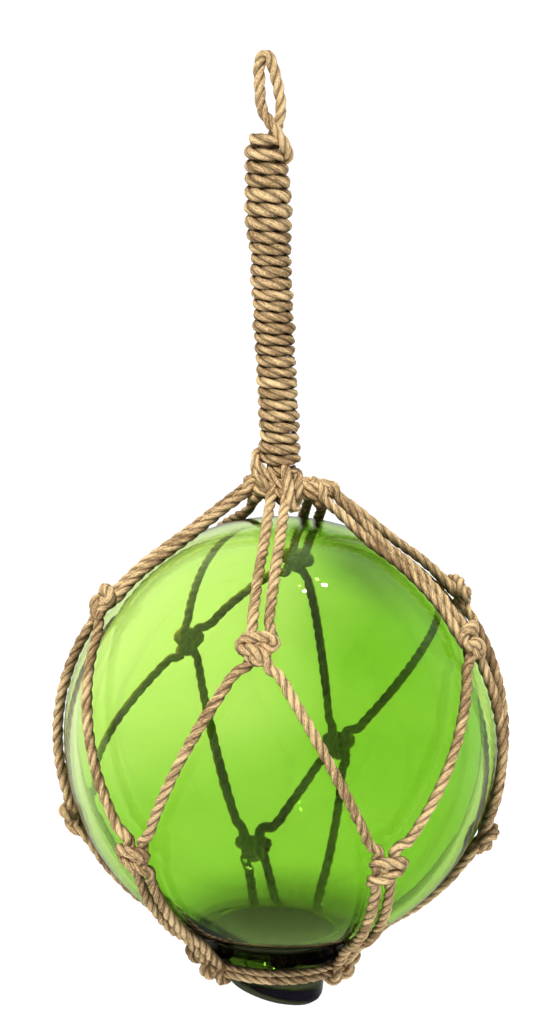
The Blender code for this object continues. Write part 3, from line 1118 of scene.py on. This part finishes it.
@dataclass
class TopRing:
    """The cord ring that the net is started on, an oval of two turns that the handle's hitch pinches."""

    height: float = BALL_RADIUS + 0.0105
    half_length: float = 0.0132
    half_width: float = 0.0082
    pinch: float = 0.66
    pinch_x: float = 0.0009
    pinch_length: float = 0.0065
    right_drop: float = 0.11
    second_rise: float = 0.0026
    second_inset: float = 0.06
    second_turn: float = 2.0
    tone: float = 0.45
    step_deg: int = 15
    seed: int = 11

    def point(self, azimuth_deg: float) -> np.ndarray:
        """Find a point on the ring.

        Args:
            azimuth_deg: Azimuth in degrees from the front, positive to the right.

        Returns:
            The point in the ball's frame.
        """
        azimuth = radians(azimuth_deg)
        x = self.half_length * sin(azimuth)
        squeeze = exp(-((x - self.pinch_x) / self.pinch_length) ** 2)
        height = self.height - self.right_drop * max(0.0, x)
        return np.array((x, -self.half_width * cos(azimuth) * (1 - self.pinch * squeeze), height))

    def build(self, lay: CordLay, jute: bpy.types.Material) -> bpy.types.Object:
        """Build the ring.

        Args:
            lay: Section of the cord.
            jute: Its material.

        Returns:
            The piece.
        """
        maker = CordMesh(lay, self.seed)
        for rise, inset, turn in ((0.0, 0.0, 0.0), (self.second_rise, self.second_inset, self.second_turn)):
            points = [self.point(azimuth) * (1 - inset, 1 - inset, 1) + (0.0, 0.0, rise)
                      for azimuth in range(0, 360, self.step_deg)]
            route = leaned(smooth_route(points, lay.ring_step, True))
            maker.add(Cord(route, closed=True, turn=turn, tone=self.tone))
        return maker.build("crown_ring", jute)


@dataclass
class BottomRing:
    """The cord ring that closes the net round the seal, of two turns."""

    height: float = -(BALL_RADIUS + 0.0050)
    radius: float = 0.0262
    cord_radius: float = 0.0017
    second_rise: float = 0.0028
    second_spread: float = 1.03
    second_cord_radius: float = 0.0014
    step_deg: int = 15
    seed: int = 12

    def point(self, azimuth_deg: float) -> np.ndarray:
        """Find a point on the ring, in the ball's frame."""
        return around(azimuth_deg, self.radius, self.height)

    def build(self, lay: CordLay, jute: bpy.types.Material) -> bpy.types.Object:
        """Build the ring.

        Args:
            lay: Section of the cord.
            jute: Its material.

        Returns:
            The piece.
        """
        maker = CordMesh(lay, self.seed)
        first = (0.0, 1.0, self.cord_radius)
        second = (self.second_rise, self.second_spread, self.second_cord_radius)
        for rise, spread, radius in (first, second):
            points = [self.point(azimuth) * (spread, spread, 1) + (0.0, 0.0, rise)
                      for azimuth in range(0, 360, self.step_deg)]
            route = leaned(smooth_route(points, lay.ring_step, True))
            # Painted shade darkens the ring on the side that lies on the glass.
            maker.add(Cord(route, radius=radius, closed=True, against=Against.GLASS))
        return maker.build("foot_ring", jute)


class Leg(Enum):
    """The four cords that leave a knot, in the order of its legs, as sides to the right and up."""

    UPPER_LEFT = (-1.0, 1.0)
    UPPER_RIGHT = (1.0, 1.0)
    LOWER_LEFT = (-1.0, -1.0)
    LOWER_RIGHT = (1.0, -1.0)


LegTarget = str | float | None
LegsDone = set[tuple[str, Leg]]


@dataclass(frozen=True)
class Knot:
    """One knot of the net: its place, what its four legs lead to and how it lies.

    A leg leads to another knot's name, to a ring azimuth or, for None, to a cut end.
    """

    azimuth_deg: float
    height_share: float
    legs: tuple[LegTarget, LegTarget, LegTarget, LegTarget]
    mirrored: bool = False
    tail: tuple[float, float] | None = None
    scale: float = 1.0

    def target(self, leg: Leg) -> LegTarget:
        """Say what a leg leads to."""
        return self.legs[list(Leg).index(leg)]


@dataclass
class Net:
    """The netting: cords tied into wide meshes by mesh knots and hooked on the two rings.

    A knot's bight, its working cord, cut ends and tails are in cord diameters to the right and up and in
    layers of cord out from the glass.
    """

    top_ring: TopRing
    bottom_ring: BottomRing
    hook_radius: float = 0.0030
    hook_points: int = 9
    top_hook_deg: tuple[float, float] = (0.0, 300.0)
    bottom_hook_deg: tuple[float, float] = (45.0, -270.0)
    leg_reach: float = 2.6
    layer: float = 0.42
    knot_scale: float = 0.88
    knot_tall: float = 1.12
    knot_swell: float = 0.20
    knot_reach: float = 0.0065
    leg_gap: float = 0.62
    upright_from: float = 0.5
    taut_step: float = 2.0 * CORD_DIAMETER
    cut_end: Point = (1.5, 2.1, 0.3)
    tail_shares: tuple[float, ...] = (0.2, 0.6, 1.0)
    tail_layer: float = 1.6
    turn_step: float = 1.3
    seed: int = 13
    knots: dict[str, Knot] = field(default_factory=lambda: {
        "front_left": Knot(-78.0, 0.600, (-112.0, -68.0, "low_left", "low_front_left"), tail=(1.5, -1.3),
                           scale=1.10),
        "front": Knot(-8.5, 0.570, (-31.0, -13.0, "low_front_left", "low_front_right")),
        "front_right": Knot(66.0, 0.525, (49.0, 79.0, "low_front_right", "low_right"), scale=1.12),
        "back_right": Knot(102.5, 0.625, (103.0, None, "low_right", "low_back_right")),
        "back": Knot(175.5, 0.620, (124.0, 144.0, "low_back_right", "back_left")),
        "back_left": Knot(-150.0, 0.180, ("back", -141.0, "low_back", "low_left")),
        "low_front_left": Knot(-40.0, -0.352, ("front_left", "front", -55.0, -40.0), tail=(-1.9, -0.3)),
        "low_front_right": Knot(27.5, -0.325, ("front", "front_right", 50.0, 66.0), mirrored=True),
        "low_right": Knot(83.0, -0.415, ("front_right", "back_right", 92.0, 107.0)),
        "low_back_right": Knot(160.5, -0.315, ("back_right", "back", 150.0, "low_back"), mirrored=True),
        "low_back": Knot(-170.5, -0.740, ("low_back_right", "back_left", 176.0, -166.0)),
        "low_left": Knot(-92.0, -0.420, ("back_left", "front_left", -104.0, -90.0)),
    })
    bight: Points = ((-0.88, 1.60, 0.1), (-0.82, 0.90, 0.2), (-0.80, 0.10, 0.6), (-0.60, -0.70, 1.0),
                     (0.05, -1.10, 1.2), (0.70, -0.70, 1.1), (0.85, 0.0, 0.8), (1.02, 0.90, 0.2),
                     (1.10, 1.60, 0.1))
    working: Points = ((-1.05, -1.45, 0.0), (-0.55, -0.85, 0.0), (-0.15, -0.20, 0.7), (0.30, 0.25, 1.2),
                       (0.95, 0.20, 1.0), (1.52, 0.50, 1.2), (1.15, 0.90, 1.9), (0.40, 0.88, 2.2),
                       (-0.50, 0.80, 2.2), (-1.20, 0.72, 1.9), (-1.65, 0.28, 1.2), (-1.25, -0.25, 1.4),
                       (-0.60, -0.25, 2.0), (0.10, -0.50, 2.2), (0.75, -0.90, 1.7), (1.15, -1.45, 0.4))

    def middle(self, name: str) -> np.ndarray:
        """Find the middle of a knot on the layer where the cords lie on the glass.

        Args:
            name: The knot.

        Returns:
            The point in the ball's frame.
        """
        knot = self.knots[name]
        height = knot.height_share * BALL_RADIUS
        place = around(knot.azimuth_deg, sqrt(BALL_RADIUS ** 2 - height ** 2), height)
        return unit(place) * NET_RADIUS

    def axes(self, name: str) -> tuple[np.ndarray, np.ndarray, np.ndarray]:
        """Find a knot's own directions.

        Args:
            name: The knot.

        Returns:
            The directions to its right, up along the ball and outward.
        """
        out = unit(self.middle(name))
        azimuth = radians(self.knots[name].azimuth_deg)
        right = np.array((cos(azimuth), sin(azimuth), 0.0))
        return right, np.cross(out, right), out

    def local(self, name: str, u: float, v: float, layers: float) -> np.ndarray:
        """Find a point near a knot.

        Args:
            name: The knot.
            u: Cord diameters to the right.
            v: Cord diameters up.
            layers: Layers of cord out from the glass.

        Returns:
            The point in the ball's frame.
        """
        right, up, _ = self.axes(name)
        if self.knots[name].mirrored:
            u = -u
        size = CORD_DIAMETER * self.knot_scale * self.knots[name].scale
        place = self.middle(name) + size * (right * u + up * v * self.knot_tall)
        return unit(place) * (NET_RADIUS + layers * self.layer * CORD_DIAMETER)

    def hook(self, ring: TopRing | BottomRing, azimuth_deg: float) -> list[np.ndarray]:
        """Lay a cord's turn round a ring.

        Args:
            ring: The ring.
            azimuth_deg: Where on the ring.

        Returns:
            The turn's points, from where the cord comes from its knot to its end.
        """
        leaving, end = self.top_hook_deg if isinstance(ring, TopRing) else self.bottom_hook_deg
        along = unit(ring.point(azimuth_deg + 1) - ring.point(azimuth_deg - 1))
        up = np.array((0.0, 0.0, 1.0))
        away = unit(np.cross(along, up))
        route = []
        for angle in np.linspace(radians(leaving), radians(end), self.hook_points):
            offset = (away * cos(angle) + up * sin(angle)) * self.hook_radius
            route.append(ring.point(azimuth_deg) + offset)
        return route

    def taut(self, start: np.ndarray, end: np.ndarray) -> list[np.ndarray]:
        """Lay a taut cord between two points that bends only where the ball is in its way.

        Args:
            start: The first point.
            end: The last point.

        Returns:
            The points from the first to the last.
        """
        count = max(2, int(np.linalg.norm(end - start) / self.taut_step))
        route = []
        for share in np.linspace(0.0, 1.0, count + 1):
            place = start * (1 - share) + end * share
            distance = np.linalg.norm(place)
            route.append(place * max(1.0, NET_RADIUS / distance))
        return route

    def leg_start(self, name: str, leg: Leg, target: np.ndarray) -> np.ndarray:
        """Find where a leg lies down on the glass on its way from a knot to a target.

        Args:
            name: The knot.
            leg: The leg.
            target: The point that it runs to.

        Returns:
            The point, a little to the leg's own side where its way is upright.
        """
        middle = self.middle(name)
        right, up, out = self.axes(name)
        way = target - middle
        way = unit(way - out * float(way @ out))
        upright = max(0.0, abs(float(way @ up)) - self.upright_from) / (1 - self.upright_from)
        apart = leg.value[0] * self.leg_gap * upright
        place = middle + (way * self.leg_reach + right * apart) * CORD_DIAMETER
        return unit(place) * NET_RADIUS

    def opposite(self, name: str, other: str) -> Leg:
        """Find the leg of another knot that leads back to this one."""
        return list(Leg)[self.knots[other].legs.index(name)]

    def inside(self, name: str, leg: Leg) -> tuple[list[np.ndarray], Leg]:
        """Lay a cord through a knot.

        Args:
            name: The knot.
            leg: The leg by which the cord comes in.

        Returns:
            The points through the knot and the leg by which it leaves.
        """
        upper = leg in (Leg.UPPER_LEFT, Leg.UPPER_RIGHT)
        points = [self.local(name, *point) for point in (self.bight if upper else self.working)]
        first = Leg.UPPER_LEFT if upper else Leg.LOWER_LEFT
        last = Leg.UPPER_RIGHT if upper else Leg.LOWER_RIGHT
        if self.knots[name].mirrored:
            points = points[::-1]
        return (points, last) if leg is first else (points[::-1], first)

    def run_from(self, name: str, leg: Leg, seen: LegsDone) -> list[np.ndarray]:
        """Follow a cord from a knot's leg to its end.

        Args:
            name: The knot that it leaves.
            leg: The leg by which it leaves.
            seen: The legs that are done, which grows.

        Returns:
            The points from the knot to the cord's end.
        """
        route: list[np.ndarray] = []
        while True:
            seen.add((name, leg))
            target = self.knots[name].target(leg)
            side, high = leg.value
            if target is None:
                u, v, layers = self.cut_end
                route.append(self.local(name, side * u, high * v, layers))
                return route
            if not isinstance(target, str):
                low = self.middle(name)[2] < 0 and high < 0
                hook = self.hook(self.bottom_ring if low else self.top_ring, target)
                start = self.leg_start(name, leg, hook[0])
                route.extend(self.taut(start, hook[0])[:-1])
                route.extend(hook)
                return route
            came_by = self.opposite(name, target)
            start = self.leg_start(name, leg, self.middle(target))
            end = self.leg_start(target, came_by, self.middle(name))
            route.extend(self.taut(start, end))
            seen.add((target, came_by))
            through, leg = self.inside(target, came_by)
            route.extend(through)
            name = target

    def cords(self) -> list[list[np.ndarray]]:
        """Follow every cord of the net from end to end.

        Returns:
            The points of each cord.
        """
        seen: LegsDone = set()
        routes = []
        for name in self.knots:
            for leg in (Leg.UPPER_LEFT, Leg.LOWER_LEFT):
                if (name, leg) in seen:
                    continue
                through, other = self.inside(name, leg)
                back = self.run_from(name, leg, seen)
                if (name, other) in seen:
                    routes.append(back[::-1] + through)
                    continue
                routes.append(back[::-1] + through + self.run_from(name, other, seen))
        return routes

    def build(self, lay: CordLay, jute: bpy.types.Material) -> bpy.types.Object:
        """Build the net.

        Args:
            lay: Section of the cord.
            jute: Its material.

        Returns:
            The piece.
        """
        maker = CordMesh(lay, self.seed)
        middles = np.array([self.middle(name) for name in self.knots])
        for index, points in enumerate(self.cords()):
            route = smooth_route(points, lay.ring_step)
            near = np.linalg.norm(route[:, None, :] - middles[None, :, :], axis=2).min(axis=1)
            radius = CORD_RADIUS * (1 + self.knot_swell * np.exp(-(near / self.knot_reach) ** 4))
            # Painted shade darkens each cord on the side that lies on the glass.
            maker.add(Cord(leaned(route), radius, turn=self.turn_step * index, against=Against.GLASS))
        for name, knot in self.knots.items():
            if knot.tail:
                u, v = knot.tail
                points = [self.local(name, u * share, v * share, self.tail_layer - share)
                          for share in self.tail_shares]
                # Painted shade darkens each tail on the side that lies on the glass.
                maker.add(Cord(leaned(smooth_route(points, lay.ring_step)), against=Against.GLASS))
        LOG.info("net: %.2f m of cord", maker.length)
        return maker.build("knotted_net", jute)


def in_metres(route: Points) -> list[np.ndarray]:
    """Turn a route that is written in millimetres into metres."""
    return [MM * np.array(place) for place in route]


@dataclass
class Handle:
    """The cord handle: an eye and its legs, whipped from the hitch down to the top ring.

    Routes are in millimetres from the ball's centre. The last turn's are azimuths, radii and heights,
    and the ring hitch's are in half widths of the pinched ring and cord diameters up.
    """

    top_ring: TopRing
    turns: int = 26
    hitch_turns: int = 2
    length: float = 0.1014
    loose_turn: float = 2.9
    loose_reach: float = 2.4
    loose_share: float = 0.29
    hitch_pitch: float = 0.0050
    hitch_cord_radius: float = 0.00205
    winding_steps: int = 16
    winding_start: float = -0.25
    start_spread: float = 1.2
    front_drop: float = 0.45
    core_radius: float = 0.0025
    core_fill: float = 1.45
    core_top: float = 0.008
    core_foot: float = 0.006
    core_points: int = 12
    foot: float = 0.0088
    sway: float = 0.0020
    squeeze: float = 1.07
    slack: float = 0.0006
    wound_lay: float = 4.4
    eye_route: Points = ((3.0, 4.5, 195.2), (6.6, 1.5, 196.6), (7.0, -1.6, 198.2), (6.3, -4.2, 200.6),
                         (4.3, -4.9, 204.6), (1.5, -3.9, 208.6), (-0.5, -1.8, 211.8), (-1.4, -0.5, 214.8),
                         (-1.6, 0.0, 219.0), (-1.7, 0.2, 223.5), (-1.5, 0.1, 227.6), (-0.5, -0.4, 230.2),
                         (1.0, -0.7, 230.6), (2.4, -0.6, 228.2), (3.5, 0.0, 224.2), (4.7, 0.6, 218.6),
                         (5.2, 0.8, 213.6), (4.3, 0.8, 208.4), (2.2, 0.9, 203.4), (1.0, 0.6, 199.0))
    eye_tone: float = 0.6
    band_route: Points = ((-2.0, 5.0, 97.0), (-5.6, 2.0, 96.8), (-6.5, -2.2, 95.6), (-5.4, -6.0, 93.0),
                          (-2.0, -7.8, 90.0), (1.4, -8.4, 87.2), (4.4, -7.6, 85.2), (7.0, -5.4, 84.4))
    band_radius: float = 0.00155
    band_spread: float = 0.00138
    band_turn: float = 2.0
    tail_route: Points = ((2.6, -2.0, 95.0), (3.6, -5.6, 93.2), (4.2, -8.8, 90.6), (4.6, -10.6, 87.4),
                          (4.8, -10.9, 84.2), (5.2, -10.4, 81.6), (6.2, -9.6, 80.4), (7.2, -9.0, 81.4))
    tail_radius: float = 0.00195
    tail_tone: float = 0.55
    last_turn: Points = ((-60.0, 4.2, 93.6), (-30.0, 4.8, 92.8), (0.0, 5.2, 92.0), (30.0, 5.4, 91.6),
                         (60.0, 5.2, 91.8), (95.0, 4.0, 92.4))
    last_turn_radius: float = 0.0016
    inner_tone: float = 0.4
    # The core's darker tone is painted shade where it shows between the turns.
    core_tone: float = 0.35
    ring_hitch_route: Pairs = ((-0.55, 1.30), (-0.80, 0.55), (-0.85, -0.30), (-0.55, -0.85), (0.00, -0.95),
                               (0.62, -0.95), (1.00, -0.30), (0.95, 0.55), (0.55, 1.30))
    hitch_azimuth_deg: float = 4.0
    hitch_shift: float = 0.0014
    turn_lean: float = 0.004
    jitter: np.ndarray = field(default_factory=lambda: np.random.default_rng(5).normal(0.0, 0.03, 40))
    whipping_seed: int = 14
    loop_seed: int = 15

    def foot_height(self) -> float:
        """Height of the whipping's lower end over the ball's centre."""
        return self.top_ring.height + self.foot

    def top_height(self) -> float:
        """Height of the whipping's upper end over the ball's centre."""
        return self.foot_height() + self.length

    def middle_x(self, height: float) -> float:
        """Find how far the handle's middle stands to the right.

        Args:
            height: Height over the ball's centre.

        Returns:
            The distance to the right.
        """
        share = (self.top_height() - height) / (self.top_height() - self.foot_height())
        share = min(1.0, max(0.0, share))
        return self.sway * share * share * (3 - 2 * share)

    def pitches(self) -> np.ndarray:
        """Work out the height of each turn, loosest a few turns below the top.

        Returns:
            The heights from the top down, which add up to the whipping's length.
        """
        index = np.arange(self.turns) + 0.5
        shares = 1 + self.loose_share * np.exp(-((index - self.loose_turn) / self.loose_reach) ** 2)
        shares = shares + self.jitter[:self.turns]
        return shares * self.length / shares.sum()

    def winding(self) -> tuple[list[np.ndarray], np.ndarray, np.ndarray]:
        """Lay the winding from the hitch's turns at the top to the last turn.

        Returns:
            The points, and the heights and cord radii to read the thickness from.
        """
        pitches = np.concatenate((np.full(self.hitch_turns, self.hitch_pitch), self.pitches()))
        start = self.top_height() + self.hitch_turns * self.hitch_pitch
        edges = start - np.concatenate(([0.0], np.cumsum(pitches)))
        middles = (edges[:-1] + edges[1:]) / 2
        radii = pitches / 2 * self.squeeze
        radii[:self.hitch_turns] = self.hitch_cord_radius
        numbers = np.arange(len(middles))
        steps = self.winding_steps
        points = []
        for step in range((len(middles) - 1) * steps + 1 + steps // 2):
            turn = step / steps + self.winding_start
            level = turn - self.front_drop * sin(2 * pi * turn) / (2 * pi)
            height = float(np.interp(level, numbers, middles))
            radius = self.core_radius + float(np.interp(turn, numbers, radii)) + self.slack
            if turn < 0.0:
                radius *= 1 + self.start_spread * turn
            lean = self.turn_lean * self.jitter[int(turn + 1)]
            points.append(around(360.0 * turn, radius, height) + (self.middle_x(height) + lean, 0.0, 0.0))
        return points, middles[::-1], radii[::-1]

    def build_whipping(self, lay: CordLay, jute: bpy.types.Material) -> bpy.types.Object:
        """Build the winding with the hitch's turns, the riding band and the cut tail at the collar.

        Args:
            lay: Section of the cord.
            jute: Its material.

        Returns:
            The piece.
        """
        maker = CordMesh(replace(lay, lay_diameters=self.wound_lay), self.whipping_seed)
        points, heights, radii = self.winding()
        route = smooth_route(points, lay.ring_step)
        # Painted shade darkens each turn where it lies on the next.
        maker.add(Cord(hung(route), np.interp(route[:, 2], heights, radii), against=Against.OWN_TURNS))
        band = smooth_route(in_metres(self.band_route), lay.ring_step)
        level = band * (1.0, 1.0, 0.0)
        sides = np.cross(np.gradient(band, axis=0), level)
        sides /= np.linalg.norm(sides, axis=1)[:, None]
        for shift, turn in ((-self.band_spread, 0.0), (self.band_spread, self.band_turn)):
            maker.add(Cord(hung(band + shift * sides), self.band_radius, turn=turn))
        last = [around(azimuth, MM * radius, MM * height) + (self.sway, 0.0, 0.0)
                for azimuth, radius, height in self.last_turn]
        for points, radius, tone in ((last, self.last_turn_radius, self.inner_tone),
                                     (in_metres(self.tail_route), self.tail_radius, self.tail_tone)):
            maker.add(Cord(hung(smooth_route(points, lay.ring_step)), radius, tone=tone))
        LOG.info("whipping: %.2f m of cord", maker.length)
        return maker.build("whipped_handle", jute)

    def ring_hitch(self) -> list[np.ndarray]:
        """Lay the hitch round the top ring where it is pinched.

        Returns:
            The points from the handle's foot round the ring and back.
        """
        pinched = self.top_ring.point(self.hitch_azimuth_deg)
        x, half_width = pinched[0] + self.hitch_shift, CORD_DIAMETER - pinched[1]
        height = self.top_ring.height
        lean = np.array(LEAN)
        return [lean @ np.array((x, half_width * u, height + CORD_DIAMETER * v))
                for u, v in self.ring_hitch_route]

    def build_loop(self, lay: CordLay, jute: bpy.types.Material) -> bpy.types.Object:
        """Build the cord that carries the float: eye, bound legs and hitch round the top ring.

        Args:
            lay: Section of the cord.
            jute: Its material.

        Returns:
            The piece.
        """
        maker = CordMesh(lay, self.loop_seed)
        heights = np.linspace(self.top_height() + self.core_top, self.foot_height() - self.core_foot,
                              self.core_points)
        core = [np.array((self.middle_x(height), 0.0, height)) for height in heights]
        inside = core[-1] + np.array((0.0, 0.0, CORD_DIAMETER))
        hitch = [inside, *self.ring_hitch(), inside]
        for points, radius, tone in ((in_metres(self.eye_route), EYE_CORD_RADIUS, self.eye_tone),
                                     (core, self.core_radius * self.core_fill, self.core_tone),
                                     (hitch, CORD_RADIUS, self.inner_tone)):
            maker.add(Cord(hung(smooth_route(points, lay.ring_step)), radius, tone=tone))
        LOG.info("loop: %.2f m of cord", maker.length)
        return maker.build("eye_and_core", jute)


def aimed(lamp: bpy.types.Object, azimuth_deg: float, elevation_deg: float) -> Vector:
    """Turn a light so that it shines from a direction.

    Args:
        lamp: The light.
        azimuth_deg: Azimuth in degrees from the front, positive to the right.
        elevation_deg: Degrees above the horizon.

    Returns:
        The direction towards the light, of length one.
    """
    elevation = radians(elevation_deg)
    away = Vector(around(azimuth_deg, cos(elevation), sin(elevation)))
    lamp.rotation_mode = "QUATERNION"
    lamp.rotation_quaternion = away.to_track_quat("Z", "Y")
    return away


@dataclass(frozen=True)
class SoftBox:
    """A square soft light that faces the float."""

    name: str
    azimuth_deg: float
    elevation_deg: float
    distance: float
    size: float
    power: float

    def build(self, target: Vector) -> None:
        """Hang the light and aim it.

        Args:
            target: The point that it faces.
        """
        data = bpy.data.lights.new(self.name, "AREA")
        data.shape = "SQUARE"
        data.size = self.size
        data.energy = self.power
        lamp = placed(self.name, data)
        away = self.distance * aimed(lamp, self.azimuth_deg, self.elevation_deg)
        lamp.location = target + away


@dataclass
class Studio:
    """White surroundings, a pale floor well below the float, and soft lights."""

    floor_height: float = -1.30
    floor_radius: float = 14.0
    floor_corners: int = 72
    white: float = 1.08
    ambient: float = 0.55
    ambient_colour: Colour = (0.94, 0.97, 1.0)
    front_gloss: float = 0.04
    back_gloss: float = 0.60
    gloss_turn: tuple[float, float] = (-0.25, 0.75)
    low_gloss: float = 0.20
    low_turn: tuple[float, float] = (-0.60, -0.28)
    key_strength: float = 2.9
    key_angle_deg: float = 14.0
    key_azimuth_deg: float = -15.0
    key_elevation_deg: float = 50.0
    key_colour: Colour = (1.0, 0.985, 0.95)
    boxes: tuple[SoftBox, ...] = (
        SoftBox("box_over", 119.2, 69.7, 1.55, 0.055, 0.9),
        SoftBox("box_top", 106.2, 79.1, 1.55, 0.040, 0.6),
        SoftBox("box_front", -16.8, 58.1, 1.67, 0.060, 1.0),
    )

    def build(self) -> None:
        """Build the floor, the sky and the lights."""
        mesh = bpy.data.meshes.new("studio_floor")
        corners = range(self.floor_corners)
        edge = [Vector(around(360.0 * step / self.floor_corners, self.floor_radius, self.floor_height))
                for step in corners]
        mesh.from_pydata(edge, [], [tuple(corners)])
        mesh.materials.append(FloorFinish().make())
        floor = placed("studio_floor", mesh)
        floor.visible_glossy = False
        floor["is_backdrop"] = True
        self.build_sky()
        self.build_key()
        bpy.context.scene.view_settings.view_transform = "Standard"
        for box in self.boxes:
            box.build(BALL_CENTRE)

    def build_sky(self) -> None:
        """Make a sky that is white where it is seen and dimmer as a source of light and in reflections."""
        world = bpy.data.worlds.new("studio")
        world.use_nodes = True
        graph = NodeGraph(world.node_tree)
        seen = world.node_tree.nodes["Background"]
        seen.inputs["Color"].default_value = (1.0, 1.0, 1.0, 1.0)
        seen.inputs["Strength"].default_value = self.white
        lit = graph.add("ShaderNodeBackground")
        lit.inputs["Color"].default_value = (*self.ambient_colour, 1.0)
        lit.inputs["Strength"].default_value = self.ambient
        mirrored = graph.add("ShaderNodeBackground")
        direction = graph.add("ShaderNodeTexCoord")
        _, depth, height = graph.parts(direction.outputs["Generated"])
        behind = graph.ramp(depth, *self.gloss_turn, low=self.front_gloss, high=self.back_gloss)
        under = graph.ramp(height, *self.low_turn, low=self.low_gloss)
        graph.link(graph.times(behind, under), mirrored.inputs["Strength"])
        path = graph.add("ShaderNodeLightPath")
        lighting = graph.add("ShaderNodeMixShader")
        graph.link(path.outputs["Is Glossy Ray"], lighting.inputs[0])
        graph.link(lit.outputs[0], lighting.inputs[1])
        graph.link(mirrored.outputs[0], lighting.inputs[2])
        share = graph.math("MAXIMUM", path.outputs["Is Camera Ray"], path.outputs["Is Transmission Ray"])
        mix = graph.add("ShaderNodeMixShader")
        graph.link(share, mix.inputs[0])
        graph.link(lighting.outputs[0], mix.inputs[1])
        graph.link(seen.outputs[0], mix.inputs[2])
        graph.link(mix.outputs[0], world.node_tree.nodes["World Output"].inputs["Surface"])
        bpy.context.scene.world = world

    def build_key(self) -> None:
        """Hang the key light, a wide soft source at the upper left of the front."""
        data = bpy.data.lights.new("key", "SUN")
        data.energy = self.key_strength
        data.angle = radians(self.key_angle_deg)
        data.color = self.key_colour
        lamp = placed("key", data)
        lamp.visible_glossy = False
        lamp.visible_transmission = False
        aimed(lamp, self.key_azimuth_deg, self.key_elevation_deg)


@dataclass(frozen=True)
class PhotoCamera:
    """The camera that took the photograph, as its view of the float gives it.

    The frame's height and the focal length are in pixels of the photograph.
    """

    frame_height: float = 1028.0
    focal: float = 2500.0
    sensor: float = 36.0
    pitch_deg: float = 10.5
    roll_deg: float = -1.5
    place: tuple[float, float, float] = (-0.0011, -0.8358, 0.0030)

    def build(self) -> None:
        """Place the camera."""
        data = bpy.data.cameras.new("photo_camera")
        data.sensor_width = self.sensor
        data.lens = self.focal * self.sensor / self.frame_height
        camera = placed("photo_camera", data)
        pitch, roll = radians(self.pitch_deg), radians(self.roll_deg)
        level = Vector((0.0, sin(pitch), cos(pitch)))
        right = Vector((1.0, 0.0, 0.0)) * cos(roll) + level * sin(roll)
        up = level * cos(roll) - Vector((1.0, 0.0, 0.0)) * sin(roll)
        back = right.cross(up)
        camera.matrix_world = Matrix.Translation(self.place) @ Matrix((right, up, back)).transposed().to_4x4()
        bpy.context.scene.camera = camera


def settle(piece: bpy.types.Object, part: Part, *nodes: str) -> None:
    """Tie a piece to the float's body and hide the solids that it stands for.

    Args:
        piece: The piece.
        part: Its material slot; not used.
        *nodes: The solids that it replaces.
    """
    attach(piece, "root")
    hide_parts(*nodes)
    LOG.info("%s: %d faces", piece.name, len(piece.data.polygons))


def write_sizes() -> None:
    """Write the box of the solids and the box of what shows."""
    boxes = {"cad": [list(corner) for corner in CAD_BOX], "visual": [list(corner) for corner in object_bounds()]}
    for name, (low, high) in boxes.items():
        LOG.info("%s box: %s mm", name, [round(1000 * (b - a), 1) for a, b in zip(low, high)])


def main() -> None:
    """Build the studio and every piece of the float."""
    logging.basicConfig(level=logging.INFO, format="%(message)s")
    PhotoCamera().build()
    Studio().build()
    lay = CordLay()
    jute = JuteFinish().make(LaidJute().make())
    clear = BlownGlassFinish().make(BlownTint().make())
    dark = GlassFinish("seal_glass", SEAL_TINT).make()
    # The cavity floor's mostly diffuse grey-violet colour is a painted reflection of the white surroundings.
    painted_reflection = GlassFinish("floor_painted_reflection", PAINTED_REFLECTION_TINT, ior=1.2, roughness=0.4, transmission=0.1).make()
    settle(GlassBall().build(clear, dark, painted_reflection), Part.GLASS, "glass_float")
    top_ring = TopRing()
    bottom_ring = BottomRing()
    settle(top_ring.build(lay, jute), Part.CORD, "top_ring")
    settle(bottom_ring.build(lay, jute), Part.CORD, "bottom_ring")
    settle(Net(top_ring, bottom_ring).build(lay, jute), Part.CORD, "net")
    handle = Handle(top_ring)
    settle(handle.build_whipping(lay, jute), Part.CORD, "handle_whipping")
    settle(handle.build_loop(lay, jute), Part.CORD, "hanging_loop")
    write_sizes()


if __name__ == "__main__":
    main()
